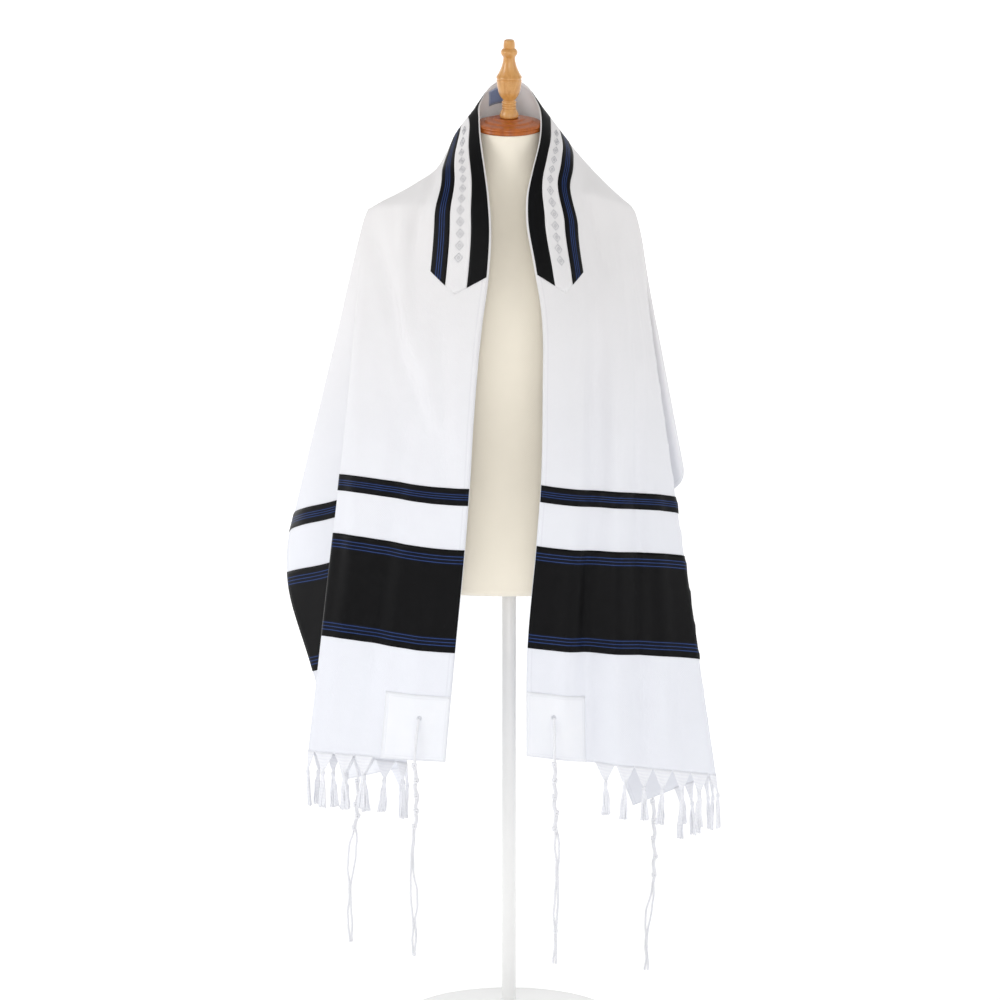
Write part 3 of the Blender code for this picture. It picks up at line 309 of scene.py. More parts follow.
def read_table(places, rows, at):
    """The smooth curve through the rows of a table, read at many places."""
    places, rows = np.asarray(places, float), np.asarray(rows, float)
    slopes = np.gradient(rows, places, axis=0)
    i = np.clip(np.searchsorted(places, at) - 1, 0, len(places) - 2)
    h = places[i + 1] - places[i]
    t = np.clip((at - places[i]) / h, 0, 1)
    if rows.ndim > 1:
        h, t = h[:, None], t[:, None]
    return (
        (2 * t**3 - 3 * t**2 + 1) * rows[i]
        + (t**3 - 2 * t**2 + t) * h * slopes[i]
        + (3 * t**2 - 2 * t**3) * rows[i + 1]
        + (t**3 - t**2) * h * slopes[i + 1]
    )


def ease(low, high, at):
    t = np.clip((at - low) / (high - low), 0, 1)
    return t * t * (3 - 2 * t)


def unit(vectors):
    length = np.linalg.norm(vectors, axis=-1, keepdims=True)
    return vectors / np.maximum(length, 1e-12)


def hang(outwards, backwards):
    """Unit vectors that hang that many degrees out and back from straight down."""
    x, y = np.sin(np.radians(outwards)), np.sin(np.radians(backwards))
    return np.stack([x, y, -np.sqrt(1 - x * x - y * y)], axis=-1)


def run_length(path):
    """The length of a path up to each of its points."""
    steps = np.linalg.norm(np.diff(path, axis=0), axis=1)
    return np.concatenate([[0], np.cumsum(steps)])


def circle(turn, across, through):
    """The unit vectors at those angles from one direction towards another."""
    return np.cos(turn)[:, None] * across + np.sin(turn)[:, None] * through


def smooth_path(points, count):
    """A smooth curve through the points, with that many points of its own."""
    points = np.asarray(points, float)
    along = run_length(points)
    return read_table(along, points, np.linspace(0, along[-1], count))


class ClothSide:
    """One half of the shawl, with x outwards from the middle until it is signed."""

    def __init__(self, name):
        self.name = name
        self.sign = SIGN[name]
        self.edge = np.array(NECK_EDGE[name])
        along = run_length(self.edge)
        self.edge_s = along * HALF_LENGTH / along[-1]
        self.ridge = np.array(RIDGE[name])
        self.fan = np.array(FAN[name])
        self.s_shoulder, self.u_shoulder = self.ridge[-1, :2]
        self.shoulder = self.ridge[-1, 2:5]
        self.crease = math.radians(self.fan[0, 0])

    def u_crease(self, s):
        """Where the ridge and, below the shoulder, the crease lie across the cloth."""
        ridge = read_table(self.ridge[:, 0], self.ridge[:, 1], s)
        below = self.u_shoulder + (s - self.s_shoulder) * math.tan(self.crease)
        return np.where(s < self.s_shoulder, ridge, below)

    def fan_point(self, s, u):
        ds, du = s - self.s_shoulder, u - self.u_shoulder
        reach = np.hypot(ds, du)
        angle = np.where(reach > 1e-9, np.degrees(np.arctan2(du, ds)), self.fan[0, 0])
        first, last = self.fan[0], self.fan[-1]
        fold = read_table(self.fan[:, 0], self.fan[:, 1:], angle)
        t = np.clip((angle - first[0]) / (last[0] - first[0]), 0, 1)[:, None]
        plain = first[1:] + (last[1:] - first[1:]) * t
        plain[:, 0] += FAN_ROUND[self.name] * np.sin(math.pi * t[:, 0])
        share = ease(FOLDS_FROM, FOLDS_FULL, reach)[:, None]
        turned = plain + (fold - plain) * share
        return self.shoulder + reach[:, None] * hang(turned[:, 0], turned[:, 1])

    def front_point(self, s, u, u_turn, turn, fullness):
        edge = read_table(self.edge_s, self.edge, s)
        across = turn - edge
        out = unit(np.stack([across[:, 1], -across[:, 0], 0 * s], axis=-1))
        t = u / u_turn
        gather = NECK_GATHER[self.name] * ease(*GATHER_GROWS, s) * (1 - ease(*GATHER_FADES, s))
        t = t - gather * t * (1 - t)
        depth = 4 * t * (1 - t) * fullness
        for s_from, s_to, u_from, u_to, width, deep in TROUGHS[self.name]:
            middle = u_from + (u_to - u_from) * (s - s_from) / (s_to - s_from)
            near = ease(0, 1, 1 - np.abs(u - middle) / width)
            grown = ease(s_from, s_from + TROUGH_GROWS, s)
            faded = ease(s_to - TROUGH_FADES, s_to, s)
            depth = depth - deep * near * grown * (1 - faded)
        return edge + across * t[:, None] + out * depth[:, None]

    def upper_point(self, s, u):
        """A place between the middle of the back and the end of the shoulder."""
        row = read_table(self.ridge[:, 0], self.ridge[:, 1:], s)
        u_turn, turn = row[:, 0], row[:, 1:4]
        front = self.front_point(s, u, u_turn, turn, row[:, 7])
        down = np.maximum(u - u_turn, 0)
        swell = np.sin(math.pi * np.minimum(1, down / (CLOTH_WIDTH - u_turn)))
        back = turn + down[:, None] * hang(row[:, 4], row[:, 5])
        back[:, 1] += row[:, 6] * swell
        return np.where((u <= u_turn)[:, None], front, back)

    def lower_point(self, s, u):
        """A place beyond the end of the shoulder."""
        u_turn = self.u_crease(s)
        slide = read_table(*zip(*SLIDE), s)
        s = np.maximum(self.s_shoulder, s - slide * ease(0, u_turn, u))
        crease = self.u_crease(s)
        turn = self.fan_point(s, crease)
        fullness = read_table(*zip(*FRONT_FULLNESS), s)
        front = self.front_point(s, u, crease, turn, fullness)
        return np.where((u > u_turn)[:, None], self.fan_point(s, u), front)

    def sharp_point(self, s, u):
        upper = (s <= self.s_shoulder)[:, None]
        return np.where(upper, self.upper_point(s, u), self.lower_point(s, u))

    def drape(self, s, u):
        """Where places of the flat cloth hang, with folds rounded and their real x."""
        reach = np.maximum(np.minimum(np.minimum(SOFTENED, u), CLOTH_WIDTH - u), 0)
        beside = self.sharp_point(s, u - reach) + self.sharp_point(s, u + reach)
        return (self.sharp_point(s, u) / 2 + beside / 4) * np.array([self.sign, 1, 1])

    def outward(self, s, u):
        """The cloth's outward normals there."""
        step = 0.004
        along = self.drape(s + step / 2, u) - self.drape(s - step / 2, u)
        low, high = np.maximum(u - step / 2, 0), np.minimum(u + step / 2, CLOTH_WIDTH)
        across = self.drape(s, high) - self.drape(s, low)
        return unit(np.cross(along, across)) * self.sign

    def soft_folds(self, s, u):
        height = 0 * s
        for s_from, u_from, s_to, u_to, width, rise in SOFT_FOLDS[self.name]:
            t = np.clip((s - s_from) / (s_to - s_from), -0.3, 1.3)
            if abs(u_to - u_from) > abs(s_to - s_from):  # it runs across the cloth
                t = np.clip((u - u_from) / (u_to - u_from), -0.3, 1.3)
                away = np.abs(s - (s_from + (s_to - s_from) * t)) / width
            else:
                away = np.abs(u - (u_from + (u_to - u_from) * t)) / width
            ends = ease(-0.25, 0.2, t) * (1 - ease(0.8, 1.25, t))
            height = height + rise * (1 - ease(0, 1, away)) * ends
        return height


SIDES = {name: ClothSide(name) for name in SIGN}


def cloth_places(s, u):
    """Points and outward normals of the draped cloth at signed places of the flat one."""
    s, u = np.asarray(s, float).ravel(), np.asarray(u, float).ravel()
    points, normals = np.zeros((len(s), 3)), np.zeros((len(s), 3))
    for side in SIDES.values():
        own = s < 0 if side.sign < 0 else s >= 0
        if own.any():
            away, across = np.abs(s[own]), u[own]
            normals[own] = side.outward(np.maximum(away, 0.002), across)
            lift = side.soft_folds(away, across)[:, None]
            points[own] = side.drape(away, across) + normals[own] * lift
    return points, normals


# ------------------------------------------------------------------ meshes


def add_mesh(name, points, faces, finish, uvs=None, smooth=True):
    """A mesh object from points and faces. uvs holds a pair for each point."""
    mesh = bpy.data.meshes.new(name)
    mesh.from_pydata([tuple(p) for p in points], [], [tuple(int(i) for i in f) for f in faces])
    if uvs is not None:
        layer = mesh.uv_layers.new(name="ClothUV")
        corners = np.empty(len(mesh.loops), dtype=int)
        mesh.loops.foreach_get("vertex_index", corners)
        layer.data.foreach_set("uv", np.asarray(uvs, float)[corners].ravel())
    mesh.materials.append(finish)
    mesh.update()
    if smooth:
        mesh.shade_smooth()
    thing = bpy.data.objects.new(name, mesh)
    bpy.context.scene.collection.objects.link(thing)
    return thing


def add_panel(name, s_rows, u_rows, lift, wall, finish, uvs):
    """A sheet on a grid of places of the flat cloth, that far out from its middle.

    s_rows and u_rows are grids of the same shape. Both faces and the edges are built
    from the same normals, so that layers never cut through each other."""
    rows, columns = s_rows.shape
    points, normals = cloth_places(s_rows, u_rows)
    count = rows * columns
    skin = np.concatenate([points + normals * lift, points + normals * (lift + wall)])
    index = np.arange(count).reshape(rows, columns)
    a, b, c, d = index[:-1, :-1], index[1:, :-1], index[1:, 1:], index[:-1, 1:]
    outer = np.stack([a, b, c, d], axis=-1).reshape(-1, 4)
    rim = np.concatenate([index[:, 0], index[-1, 1:], index[-2::-1, -1], index[0, -2:0:-1]])
    after = np.roll(rim, -1)
    edge = np.stack([rim, after, after + count, rim + count], axis=-1)[:, ::-1]
    faces = np.concatenate([outer[:, ::-1], outer + count, edge[:, ::-1]])
    flat = np.stack([uvs[0].ravel(), uvs[1].ravel()], axis=-1)
    return add_mesh(name, skin, faces, finish, np.concatenate([flat, flat]))


def frames_along(path, first=(0.0, 1.0, 0.0)):
    """Two unit vectors across a path at each of its points, without twist."""
    path = np.asarray(path, float)
    tangent = unit(np.gradient(path, axis=0))
    across = np.zeros_like(path)
    hint = np.array(first, float)
    for i, way in enumerate(tangent):
        hint = hint - way * np.dot(hint, way)
        if np.linalg.norm(hint) < 1e-6:
            hint = np.cross(way, (0.3, 0.5, 0.8))
        hint = hint / np.linalg.norm(hint)
        across[i] = hint
    return across, np.cross(tangent, across)


class Bundle:
    """Gathers tubes into one mesh."""

    def __init__(self):
        self.points, self.faces, self.uvs, self.count = [], [], [], 0

    def add_tube(self, path, radii, sides=5, flatten=1.0, first=(0.0, 1.0, 0.0)):
        path = np.asarray(path, float)
        across, through = frames_along(path, first)
        radii = np.broadcast_to(np.asarray(radii, float), len(path))
        turn = np.arange(sides) * 2 * math.pi / sides
        ring = np.cos(turn)[None, :, None] * across[:, None, :]
        ring = ring + flatten * np.sin(turn)[None, :, None] * through[:, None, :]
        skin = path[:, None, :] + ring * radii[:, None, None]
        along = run_length(path)
        grid = np.arange(len(path) * sides).reshape(len(path), sides) + self.count
        following = np.roll(grid, -1, axis=1)
        walls = np.stack([grid[:-1], following[:-1], following[1:], grid[1:]], axis=-1)
        self.faces += walls.reshape(-1, 4).tolist()
        self.faces += [grid[0][::-1].tolist(), grid[-1].tolist()]
        self.points.append(skin.reshape(-1, 3))
        around = np.tile(turn / (2 * math.pi) * UV_ROUND, len(path))
        self.uvs.append(np.stack([around, np.repeat(along, sides)], axis=-1))
        self.count += len(path) * sides

    def build(self, name, finish):
        return add_mesh(
            name, np.concatenate(self.points), self.faces, finish, np.concatenate(self.uvs)
        )


def grid_of(s_values, u_values):
    return np.meshgrid(np.asarray(s_values, float), np.asarray(u_values, float), indexing="ij")


def steps_between(low, high, spacing):
    return np.linspace(low, high, max(2, int(math.ceil((high - low) / spacing)) + 1))


def cloth_stations():
    """The s and u at which the draped cloth has its mesh lines."""
    step = bpy.context.scene.shawl_cloth.mesh_step
    return steps_between(-HALF_LENGTH, HALF_LENGTH, step), steps_between(0, CLOTH_WIDTH, step)


def within(stations, low, high):
    """The stations between two bounds, and the bounds themselves.

    A sewn piece whose facets end where the cloth's do lies on it without cutting in."""
    inside = stations[(stations > low + 0.0008) & (stations < high - 0.0008)]
    return np.concatenate([[low], inside, [high]])


def dress(thing, slot, *nodes):
    """Says what a finished piece rides on and hides the frame's nodes it stands for. Its slot is
    not used.
    """
    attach(thing, "root")
    if nodes:
        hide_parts(*nodes)
    return thing

# ------------------------------------------------------------------ materials


def srgb(hex_colour):
    """An sRGB hex value as a linear colour."""
    values = [int(hex_colour[i : i + 2], 16) / 255 for i in (1, 3, 5)]
    linear = [v / 12.92 if v <= 0.04045 else ((v + 0.055) / 1.055) ** 2.4 for v in values]
    return (*linear, 1.0)


class Finish:
    """A new material, whose plain values are set on the shader's own sockets."""

    def __init__(self, name, **shader_values):
        self.material = bpy.data.materials.new(name)
        self.material.use_nodes = True
        self.tree = self.material.node_tree
        self.shader = self.tree.nodes["Principled BSDF"]
        for socket, value in shader_values.items():
            self.shader.inputs[socket.replace("_", " ")].default_value = value

    def node(self, kind, inputs=None, **settings):
        """One node with its settings. An input is a value, or an output to link to it."""
        made = self.tree.nodes.new("ShaderNode" + kind)
        for key, value in settings.items():
            setattr(made, key, value)
        for socket, value in (inputs or {}).items():
            if isinstance(value, bpy.types.NodeSocket):
                self.tree.links.new(value, made.inputs[socket])
            else:
                made.inputs[socket].default_value = value
        return made.outputs

    def math(self, operation, a, b=0.0, c=0.0):
        return self.node("Math", {0: a, 1: b, 2: c}, operation=operation)[0]

    def mix(self, factor, one, two, blend="MIX"):
        """Two colours mixed. Each is an sRGB hex value, or the output of a node."""
        one, two = (srgb(c) if isinstance(c, str) else c for c in (one, two))
        inputs = {0: factor, 6: one, 7: two}
        return self.node("Mix", inputs, data_type="RGBA", blend_type=blend)[2]

    def map_range(self, value, low, high, to_low, to_high, **settings):
        inputs = dict(enumerate((value, low, high, to_low, to_high)))
        return self.node("MapRange", inputs, **settings)[0]

    def noise(self, place, scale, detail, dimensions="2D", distortion=0.0):
        inputs = {"Vector": place, "Scale": scale, "Detail": detail, "Distortion": distortion}
        return self.node("TexNoise", inputs, noise_dimensions=dimensions)[0]

    def solid_place(self):
        return self.node("TexCoord")["Object"]

    def cloth_place(self):
        """The place on the piece's own UV map in metres, and its two parts."""
        place = self.node("UVMap", uv_map="ClothUV")[0]
        parts = self.node("SeparateXYZ", {0: place})
        return place, parts[0], parts[1]

    def weave(self, thread, uneven=0.25):
        """The height of plain weave, warp over and under weft, and its place and parts."""
        place, u, v = self.cloth_place()
        turns = math.pi / thread
        warp = self.math("SINE", self.math("MULTIPLY", u, turns))
        weft = self.math("SINE", self.math("MULTIPLY", v, turns))
        slub = self.noise(place, 0.5 / thread, 3.0)
        over = self.math("MULTIPLY", warp, weft)
        return self.math("MULTIPLY_ADD", slub, uneven, over), place, u, v

    def from_edge(self, at, width):
        """How far a place is from the nearer of two edges, at 0 and at the width."""
        return self.math("MINIMUM", at, self.math("SUBTRACT", width, at))

    def stitches(self, edge, inset, fade):
        """1 on a row of stitches that far inside an edge, fading to 0 beside it."""
        off = self.math("ABSOLUTE", self.math("SUBTRACT", edge, inset))
        return self.map_range(off, 0.0004, fade, 1.0, 0.0)

    def bands(self, value, stops, colours):
        """A ramp with hard steps: stops in metres, and the colour from each stop on."""
        reach = stops[-1] * 1.05
        ramp = self.tree.nodes.new("ShaderNodeValToRGB")
        self.tree.links.new(self.math("DIVIDE", value, reach), ramp.inputs[0])
        ramp.color_ramp.interpolation = "CONSTANT"
        points = ramp.color_ramp.elements
        while len(points) < len(stops):
            points.new(0.5)
        for point, stop, colour in zip(points, stops, colours):
            point.position = stop / reach
            point.color = srgb(colour)
        return ramp.outputs[0]

    def relief(self, height, strength, distance):
        inputs = {"Height": height, "Strength": strength, "Distance": distance}
        return self.node("Bump", inputs)[0]

    def done(self, colour, **outputs):
        """The material, once what varies over it is linked to the shader."""
        for socket, output in {"Base_Color": colour, **outputs}.items():
            self.tree.links.new(output, self.shader.inputs[socket.replace("_", " ")])
        return self.material


def wool_cloth():
    """White worsted wool, woven plain and pressed: matt, faintly fuzzy against the light."""
    wool = Finish("worsted_wool", Roughness=0.88, Sheen_Weight=0.18, Sheen_Roughness=0.45)
    # The relief is coarser than the real threads, which would be too fine to show.
    thread = bpy.context.scene.shawl_cloth.thread * 3.2
    height, place, u, _ = wool.weave(thread)
    level = wool.node("SeparateXYZ", {0: wool.solid_place()})[2]
    # Painted shade and tint: by height alone, the cloth is greyer and warmer towards the top and
    # bluer lower down.
    painted_top_shade = wool.map_range(level, 0.55, 1.20, 0.0, 1.0, interpolation_type="SMOOTHSTEP")
    tone = wool.mix(painted_top_shade, "#EDEFF6", "#E9E7E7")
    blotch = wool.map_range(wool.noise(place, 9.0, 4.0), 0.0, 1.0, 0.965, 1.02)
    shaded = wool.mix(1.0, tone, blotch, "MULTIPLY")
    # A narrow hem is turned along each selvedge, with one row of stitches 7 mm in.
    row = wool.stitches(wool.from_edge(u, CLOTH_WIDTH), 0.007, 0.0014)
    colour = wool.mix(wool.math("MULTIPLY", row, 0.12), shaded, "#B9BAC2")
    height = wool.math("MULTIPLY_ADD", row, -2.0, height)
    return wool.done(colour, Normal=wool.relief(height, 0.16, 0.0006))


def satin(name, line_stops, line_colours, mirror_at=None):
    """Black rayon satin: long floats give a soft lengthways gloss. Blue threads are woven in."""
    rayon = Finish(name, Roughness=0.40, Specular_IOR_Level=0.12, Anisotropic=0.35)
    height, place, _, across = rayon.weave(0.0011, 0.6)
    if mirror_at:
        across = rayon.from_edge(across, mirror_at)
    lines = rayon.bands(across, line_stops, line_colours)
    worn = rayon.noise(place, 60.0, 5.0)
    colour = rayon.mix(1.0, lines, rayon.map_range(worn, 0.0, 1.0, 0.75, 1.3), "MULTIPLY")
    gloss = rayon.map_range(worn, 0.0, 1.0, 0.36, 0.50)
    return rayon.done(colour, Normal=rayon.relief(height, 0.10, 0.0003), Roughness=gloss)


def patch_cotton():
    """Bleached cotton drill, a little brighter than the wool, with a stitched hem all round."""
    drill = Finish("bleached_cotton", Roughness=0.80, Sheen_Weight=0.10)
    height, place, u, v = drill.weave(0.0013)
    edges = [drill.from_edge(part, PATCH_SIZE) for part in (u, v)]
    row = drill.stitches(drill.math("MINIMUM", *edges), 0.005, 0.0013)
    tone = drill.mix(drill.noise(place, 30.0, 3.0), "#F1F3F9", "#F6F7FB")
    colour = drill.mix(drill.math("MULTIPLY", row, 0.08), tone, "#B4B8C4")
    height = drill.math("MULTIPLY_ADD", row, -2.5, height)
    return drill.done(colour, Normal=drill.relief(height, 0.2, 0.0006))


def yarn(name, light, dark, twist, roughness=0.85, ridge=0.2):
    """Spun yarn: a slanting twist along its length, matt and slightly hairy."""
    spun = Finish(name, Roughness=roughness, Sheen_Weight=0.3)
    _, around, along = spun.cloth_place()
    # One turn round the yarn is one turn of the sine, so that the twist closes on itself.
    turned = spun.math("MULTIPLY", around, 2 * math.pi / UV_ROUND)
    slant = spun.math("MULTIPLY_ADD", along, 2 * math.pi / twist, turned)
    # The twist is the yarn's own; its colour darkens in the grooves between the plies, painted
    # shade that follows the relief.
    ply_ridge_and_groove_shade = spun.math("MULTIPLY_ADD", spun.math("SINE", slant), 0.5, 0.5)
    return spun.done(spun.mix(ply_ridge_and_groove_shade, dark, light), Normal=spun.relief(ply_ridge_and_groove_shade, ridge, 0.0005))


def label_cloth():
    """A plain damask label, woven blue-grey, with a turned border and nothing on it."""
    damask = Finish("damask_label", Roughness=0.6, Sheen_Weight=0.1)
    height, _, u, v = damask.weave(0.0010)
    left, right, top, bottom = NECK_LABEL
    edges = damask.from_edge(u, right - left), damask.from_edge(v, bottom - top)
    border = damask.math("LESS_THAN", damask.math("MINIMUM", *edges), 0.0022)
    tone = damask.mix(border, "#8190B4", "#A9B3CC")
    return damask.done(tone, Normal=damask.relief(height, 0.25, 0.0004))


def cream_jersey():
    """Cotton jersey stretched over the form: fine upright knit ribs, soft and matt."""
    colour = bpy.context.scene.shawl_form.jersey
    knit = Finish("cotton_jersey", Roughness=0.92, Sheen_Weight=0.45, Sheen_Roughness=0.6)
    height, place, _, _ = knit.weave(0.0014, 0.9)
    dark, light = ((*[min(1, c * k) for c in colour], 1.0) for k in (0.965, 1.03))
    tone = knit.mix(knit.noise(place, 14.0, 5.0), dark, light)
    return knit.done(tone, Normal=knit.relief(height, 0.14, 0.0005))


def turned_wood(name, dark, light, coat):
    """Lathe-turned beech under clear varnish: long soft grain, short flecks, a soft gloss."""
    beech = Finish(name, Roughness=0.36, Coat_Weight=coat, Coat_Roughness=0.08, IOR=1.52)
    lie = {"Rotation": (0.35, 0.2, 0.0), "Scale": (1.0, 1.0, 0.10)}
    turned = beech.node("Mapping", {"Vector": beech.solid_place(), **lie})[0]
    grain = beech.noise(turned, 200.0, 3.0, "3D", 0.4)
    fleck = beech.noise(turned, 1400.0, 2.0, "3D")
    mixed = beech.math("MULTIPLY_ADD", fleck, 0.25, beech.math("MULTIPLY", grain, 0.75))
    figure = beech.map_range(mixed, 0.3, 0.7, 0.0, 1.0)
    gloss = beech.map_range(fleck, 0.0, 1.0, 0.30, 0.42)
    tone = beech.mix(figure, dark, light)
    return beech.done(tone, Normal=beech.relief(figure, 0.06, 0.0003), Roughness=gloss)


def white_enamel():
    """Stoved white enamel on steel: smooth, with a faint orange peel and dull patches scattered at
    random.
    """
    enamel = Finish("stoved_enamel", Roughness=0.32, Coat_Weight=0.3, Coat_Roughness=0.12)
    here = enamel.solid_place()
    scuff = enamel.noise(here, 22.0, 6.0, "3D")
    gloss = enamel.map_range(scuff, 0.0, 1.0, 0.26, 0.42)
    tone = enamel.mix(scuff, "#ECECEB", "#F4F4F3")
    peel = enamel.relief(enamel.noise(here, 420.0, 2.0, "3D"), 0.05, 0.0002)
    return enamel.done(tone, Normal=peel, Roughness=gloss)


def backdrop_paper():
    """White background paper that glows with painted light of its own, more strongly towards the
    back.
    """
    paper = Finish("background_paper", Roughness=0.95, Emission_Color=srgb("#FFFFFF"))
    here = paper.solid_place()
    back = paper.node("SeparateXYZ", {0: here})[1]
    # Painted glow: the paper emits light of its own, weakest at the front and strongest at the
    # back.
    glow = paper.map_range(back, -2.0, 3.0, 0.12, 0.50)
    tone = paper.mix(paper.noise(here, 3.0, 3.0, "3D"), "#F6F6F6", "#FAFAFA")
    return paper.done(tone, Emission_Strength=glow)


# ------------------------------------------------------------------ sizes a user may change


def length_setting(name, description, default, low, high):
    return FloatProperty(
        name=name, description=description, default=default, min=low, max=high,
        subtype="DISTANCE", unit="LENGTH",
    )


def count_setting(name, description, default, low, high):
    return IntProperty(name=name, description=description, default=default, min=low, max=high)


class ClothSettings(bpy.types.PropertyGroup):
    thread: length_setting(
        "Thread spacing", "Distance between neighbouring threads of the woollen cloth",
        0.0005, 0.0002, 0.002,
    )
    mesh_step: length_setting(
        "Mesh step", "Size of the facets of the draped cloth", 0.0056, 0.004, 0.02
    )


class FringeSettings(bpy.types.PropertyGroup):
    pitch: length_setting(
        "Tassel spacing", "Distance along the fringed edge from tassel to tassel",
        0.0285, 0.01, 0.05,
    )
    yarns: count_setting(
        "Yarns in a tassel", "How many yarns are drawn together into one tassel", 17, 4, 24
    )
    yarn_radius: length_setting(
        "Yarn radius", "Radius of one twisted yarn of the fringe", 0.00098, 0.0004, 0.002
    )


class FormSettings(bpy.types.PropertyGroup):
    jersey: FloatVectorProperty(
        name="Jersey colour",
        description="Colour of the jersey that covers the dress form",
        default=srgb("#FBF3E2")[:3],
        min=0.0,
        max=1.0,
        subtype="COLOR",
    )
    lathe_steps: count_setting("Lathe steps", "Facets round the turned wood", 72, 24, 128)


# ------------------------------------------------------------------ the pieces


class SHAWL_OT_cloth(bpy.types.Operator):
    """Drape the woollen cloth over the form"""

    bl_idname = "shawl.cloth"
    bl_label = "Draped cloth"

    def execute(self, context):
        s, u = grid_of(*cloth_stations())
        cloth = add_panel("draped_cloth", s, u, -CLOTH_WALL / 2, CLOTH_WALL, wool_cloth(), (u, s))
        dress(cloth, "wool", "shawl_cloth")
        return {"FINISHED"}


def sew_on(name, s, u, finish, uvs, slot, node):
    """A piece sewn flat on the outside of the cloth."""
    panel = add_panel(name, s, u, CLOTH_WALL / 2 + SEAM_GAP, SEWN_WALL, finish, uvs)
    dress(panel, slot, node)


class SHAWL_OT_neckband(bpy.types.Operator):
    """Sew the two satin ribbons and the light strip round the neck edge"""

    bl_idname = "shawl.neckband"
    bl_label = "Neckband"

    def execute(self, context):
        ribbon = satin("plain_satin", (0.0, 0.010), (BLACK, "#070708"))
        wool = bpy.data.materials["worsted_wool"]
        lined = satin("lined_ribbon", *ribbon_lines(NECKBAND_WIDTH - NECKBAND_OUTER))
        inner, outer = NECKBAND_INNER, NECKBAND_OUTER
        strips = [
            ("inner", NECKBAND_EDGE, inner - SEAM_GAP, ribbon, "satin", "inner_ribbon"),
            ("middle", inner + SEAM_GAP, outer - SEAM_GAP, wool, "wool", "centre"),
            ("outer", outer + SEAM_GAP, NECKBAND_WIDTH, lined, "satin", "outer_ribbon"),
        ]
        along, across = cloth_stations()
        # Its mesh lines follow the cloth's up to here, and then fan out to the slanted ends.
        straight = NECKBAND_CORNER - max(NECKBAND_ASKEW.values()) - 0.004
        share = np.linspace(0, 1, 9)
        for name, low, high, finish, slot, node in strips:
            u_values = within(across, low, high)
            if low < NECKBAND_TIP < high:
                u_values = np.unique(np.append(u_values, NECKBAND_TIP))
            left, right = (neckband_end(side, u_values) for side in SIGN)
            before = -left + (left - straight) * share[:-1, None]
            middle = within(along, -straight, straight)[:, None] + 0 * u_values
            after = straight + (right - straight) * share[1:, None]
            s = np.concatenate([before, middle, after])
            u = np.broadcast_to(u_values, s.shape)
            sew_on(f"neckband_{name}", s, u, finish, (s, u - low), slot, f"neckband_{node}")
        return {"FINISHED"}


def neckband_end(side, u):
    """How far along s the neckband reaches at u on that side."""
    rising = u / NECKBAND_TIP
    falling = (NECKBAND_WIDTH - u) / (NECKBAND_WIDTH - NECKBAND_TIP)
    share = np.minimum(rising, falling)
    return NECKBAND_CORNER - NECKBAND_ASKEW[side] * u / NECKBAND_WIDTH + NECKBAND_POINT * share


def woven_lines(start, middles, width, end):
    """Blue lines of that width on navy, between two places on black satin."""
    stops, colours = [0.0, start], [BLACK, NAVY]
    for at in middles:
        stops += [at - width / 2, at + width / 2]
        colours += [BLUE, NAVY]
    return stops + [end], colours + [BLACK]


def ribbon_lines(width):
    """Three fine lines along the middle of a ribbon of that width."""
    middle, space, margin = width / 2, 0.0032, 0.0022
    low, high = middle - space, middle + space
    return woven_lines(low - margin, (low, middle, high), 0.0009, high + margin)


class SHAWL_OT_bands(bpy.types.Operator):
    """Sew the wide and narrow satin bands across both ends"""

    bl_idname = "shawl.bands"
    bl_label = "Satin bands"

    def execute(self, context):
        lines = woven_lines(0.0075, (0.0092, 0.0138, 0.0184), 0.0011, 0.0205)
        wide = satin("wide_band_satin", *lines, mirror_at=WIDE_BAND)
        narrow = satin("narrow_band_satin", *ribbon_lines(NARROW_BAND))
        bands = [
            ("wide_band", WIDE_START, WIDE_BAND, wide),
            ("narrow_band", NARROW_START, NARROW_BAND, narrow),
        ]
        for side in SIGN:
            for name, start, width, finish in bands:
                s, u = sewn_grid(side, start, width, 0.0, CLOTH_WIDTH)
                uvs = (u, np.abs(s) - start)
                name = f"{name}_{side}"
                sew_on(f"{name}_satin", s, u, finish, uvs, "satin", name)
        return {"FINISHED"}


def sewn_grid(side, start, length, low, high):
    """The places of a piece sewn across one end, a hair narrower than it is cut."""
    along, across = cloth_stations()
    ends = sorted((start * SIGN[side], (start + length) * SIGN[side]))
    return grid_of(within(along, *ends), within(across, low + TURNED_IN, high - TURNED_IN))


def add_eyelet(name, side, place, thread):
    """Buttonhole stitches laid round a small hole, one ridge of thread for each."""
    s, u = eyelet_place(place)
    middle, out = (v[0] for v in cloth_places([s * SIGN[side]], [u]))
    middle = middle + out * ON_SEWN
    across = unit(np.cross(out, (0.0, 0.0, 1.0)))
    up = np.cross(across, out)
    ring = Bundle()
    for way in circle(np.arange(24) * 2 * math.pi / 24, across, up):
        path = [middle + way * r + out * h for r, h in EYELET_STITCH]
        ring.add_tube(path, 0.00036)
    inner = middle + 0.0019 * circle(np.linspace(0, 2 * math.pi, 33), across, up)
    ring.add_tube(inner + out * 0.0005, 0.0004, sides=6)
    dress(ring.build(name, thread), "string")


def add_label():
    left, right, top, bottom = NECK_LABEL
    along, across = cloth_stations()
    s, u = grid_of(within(along, left, right), within(across, top, bottom))
    under = -CLOTH_WALL / 2 - SEAM_GAP - SEWN_WALL
    uvs = (s - left, u - top)
    label = add_panel("woven_label", s, u, under, SEWN_WALL, label_cloth(), uvs)
    dress(label, "label", "neck_label")


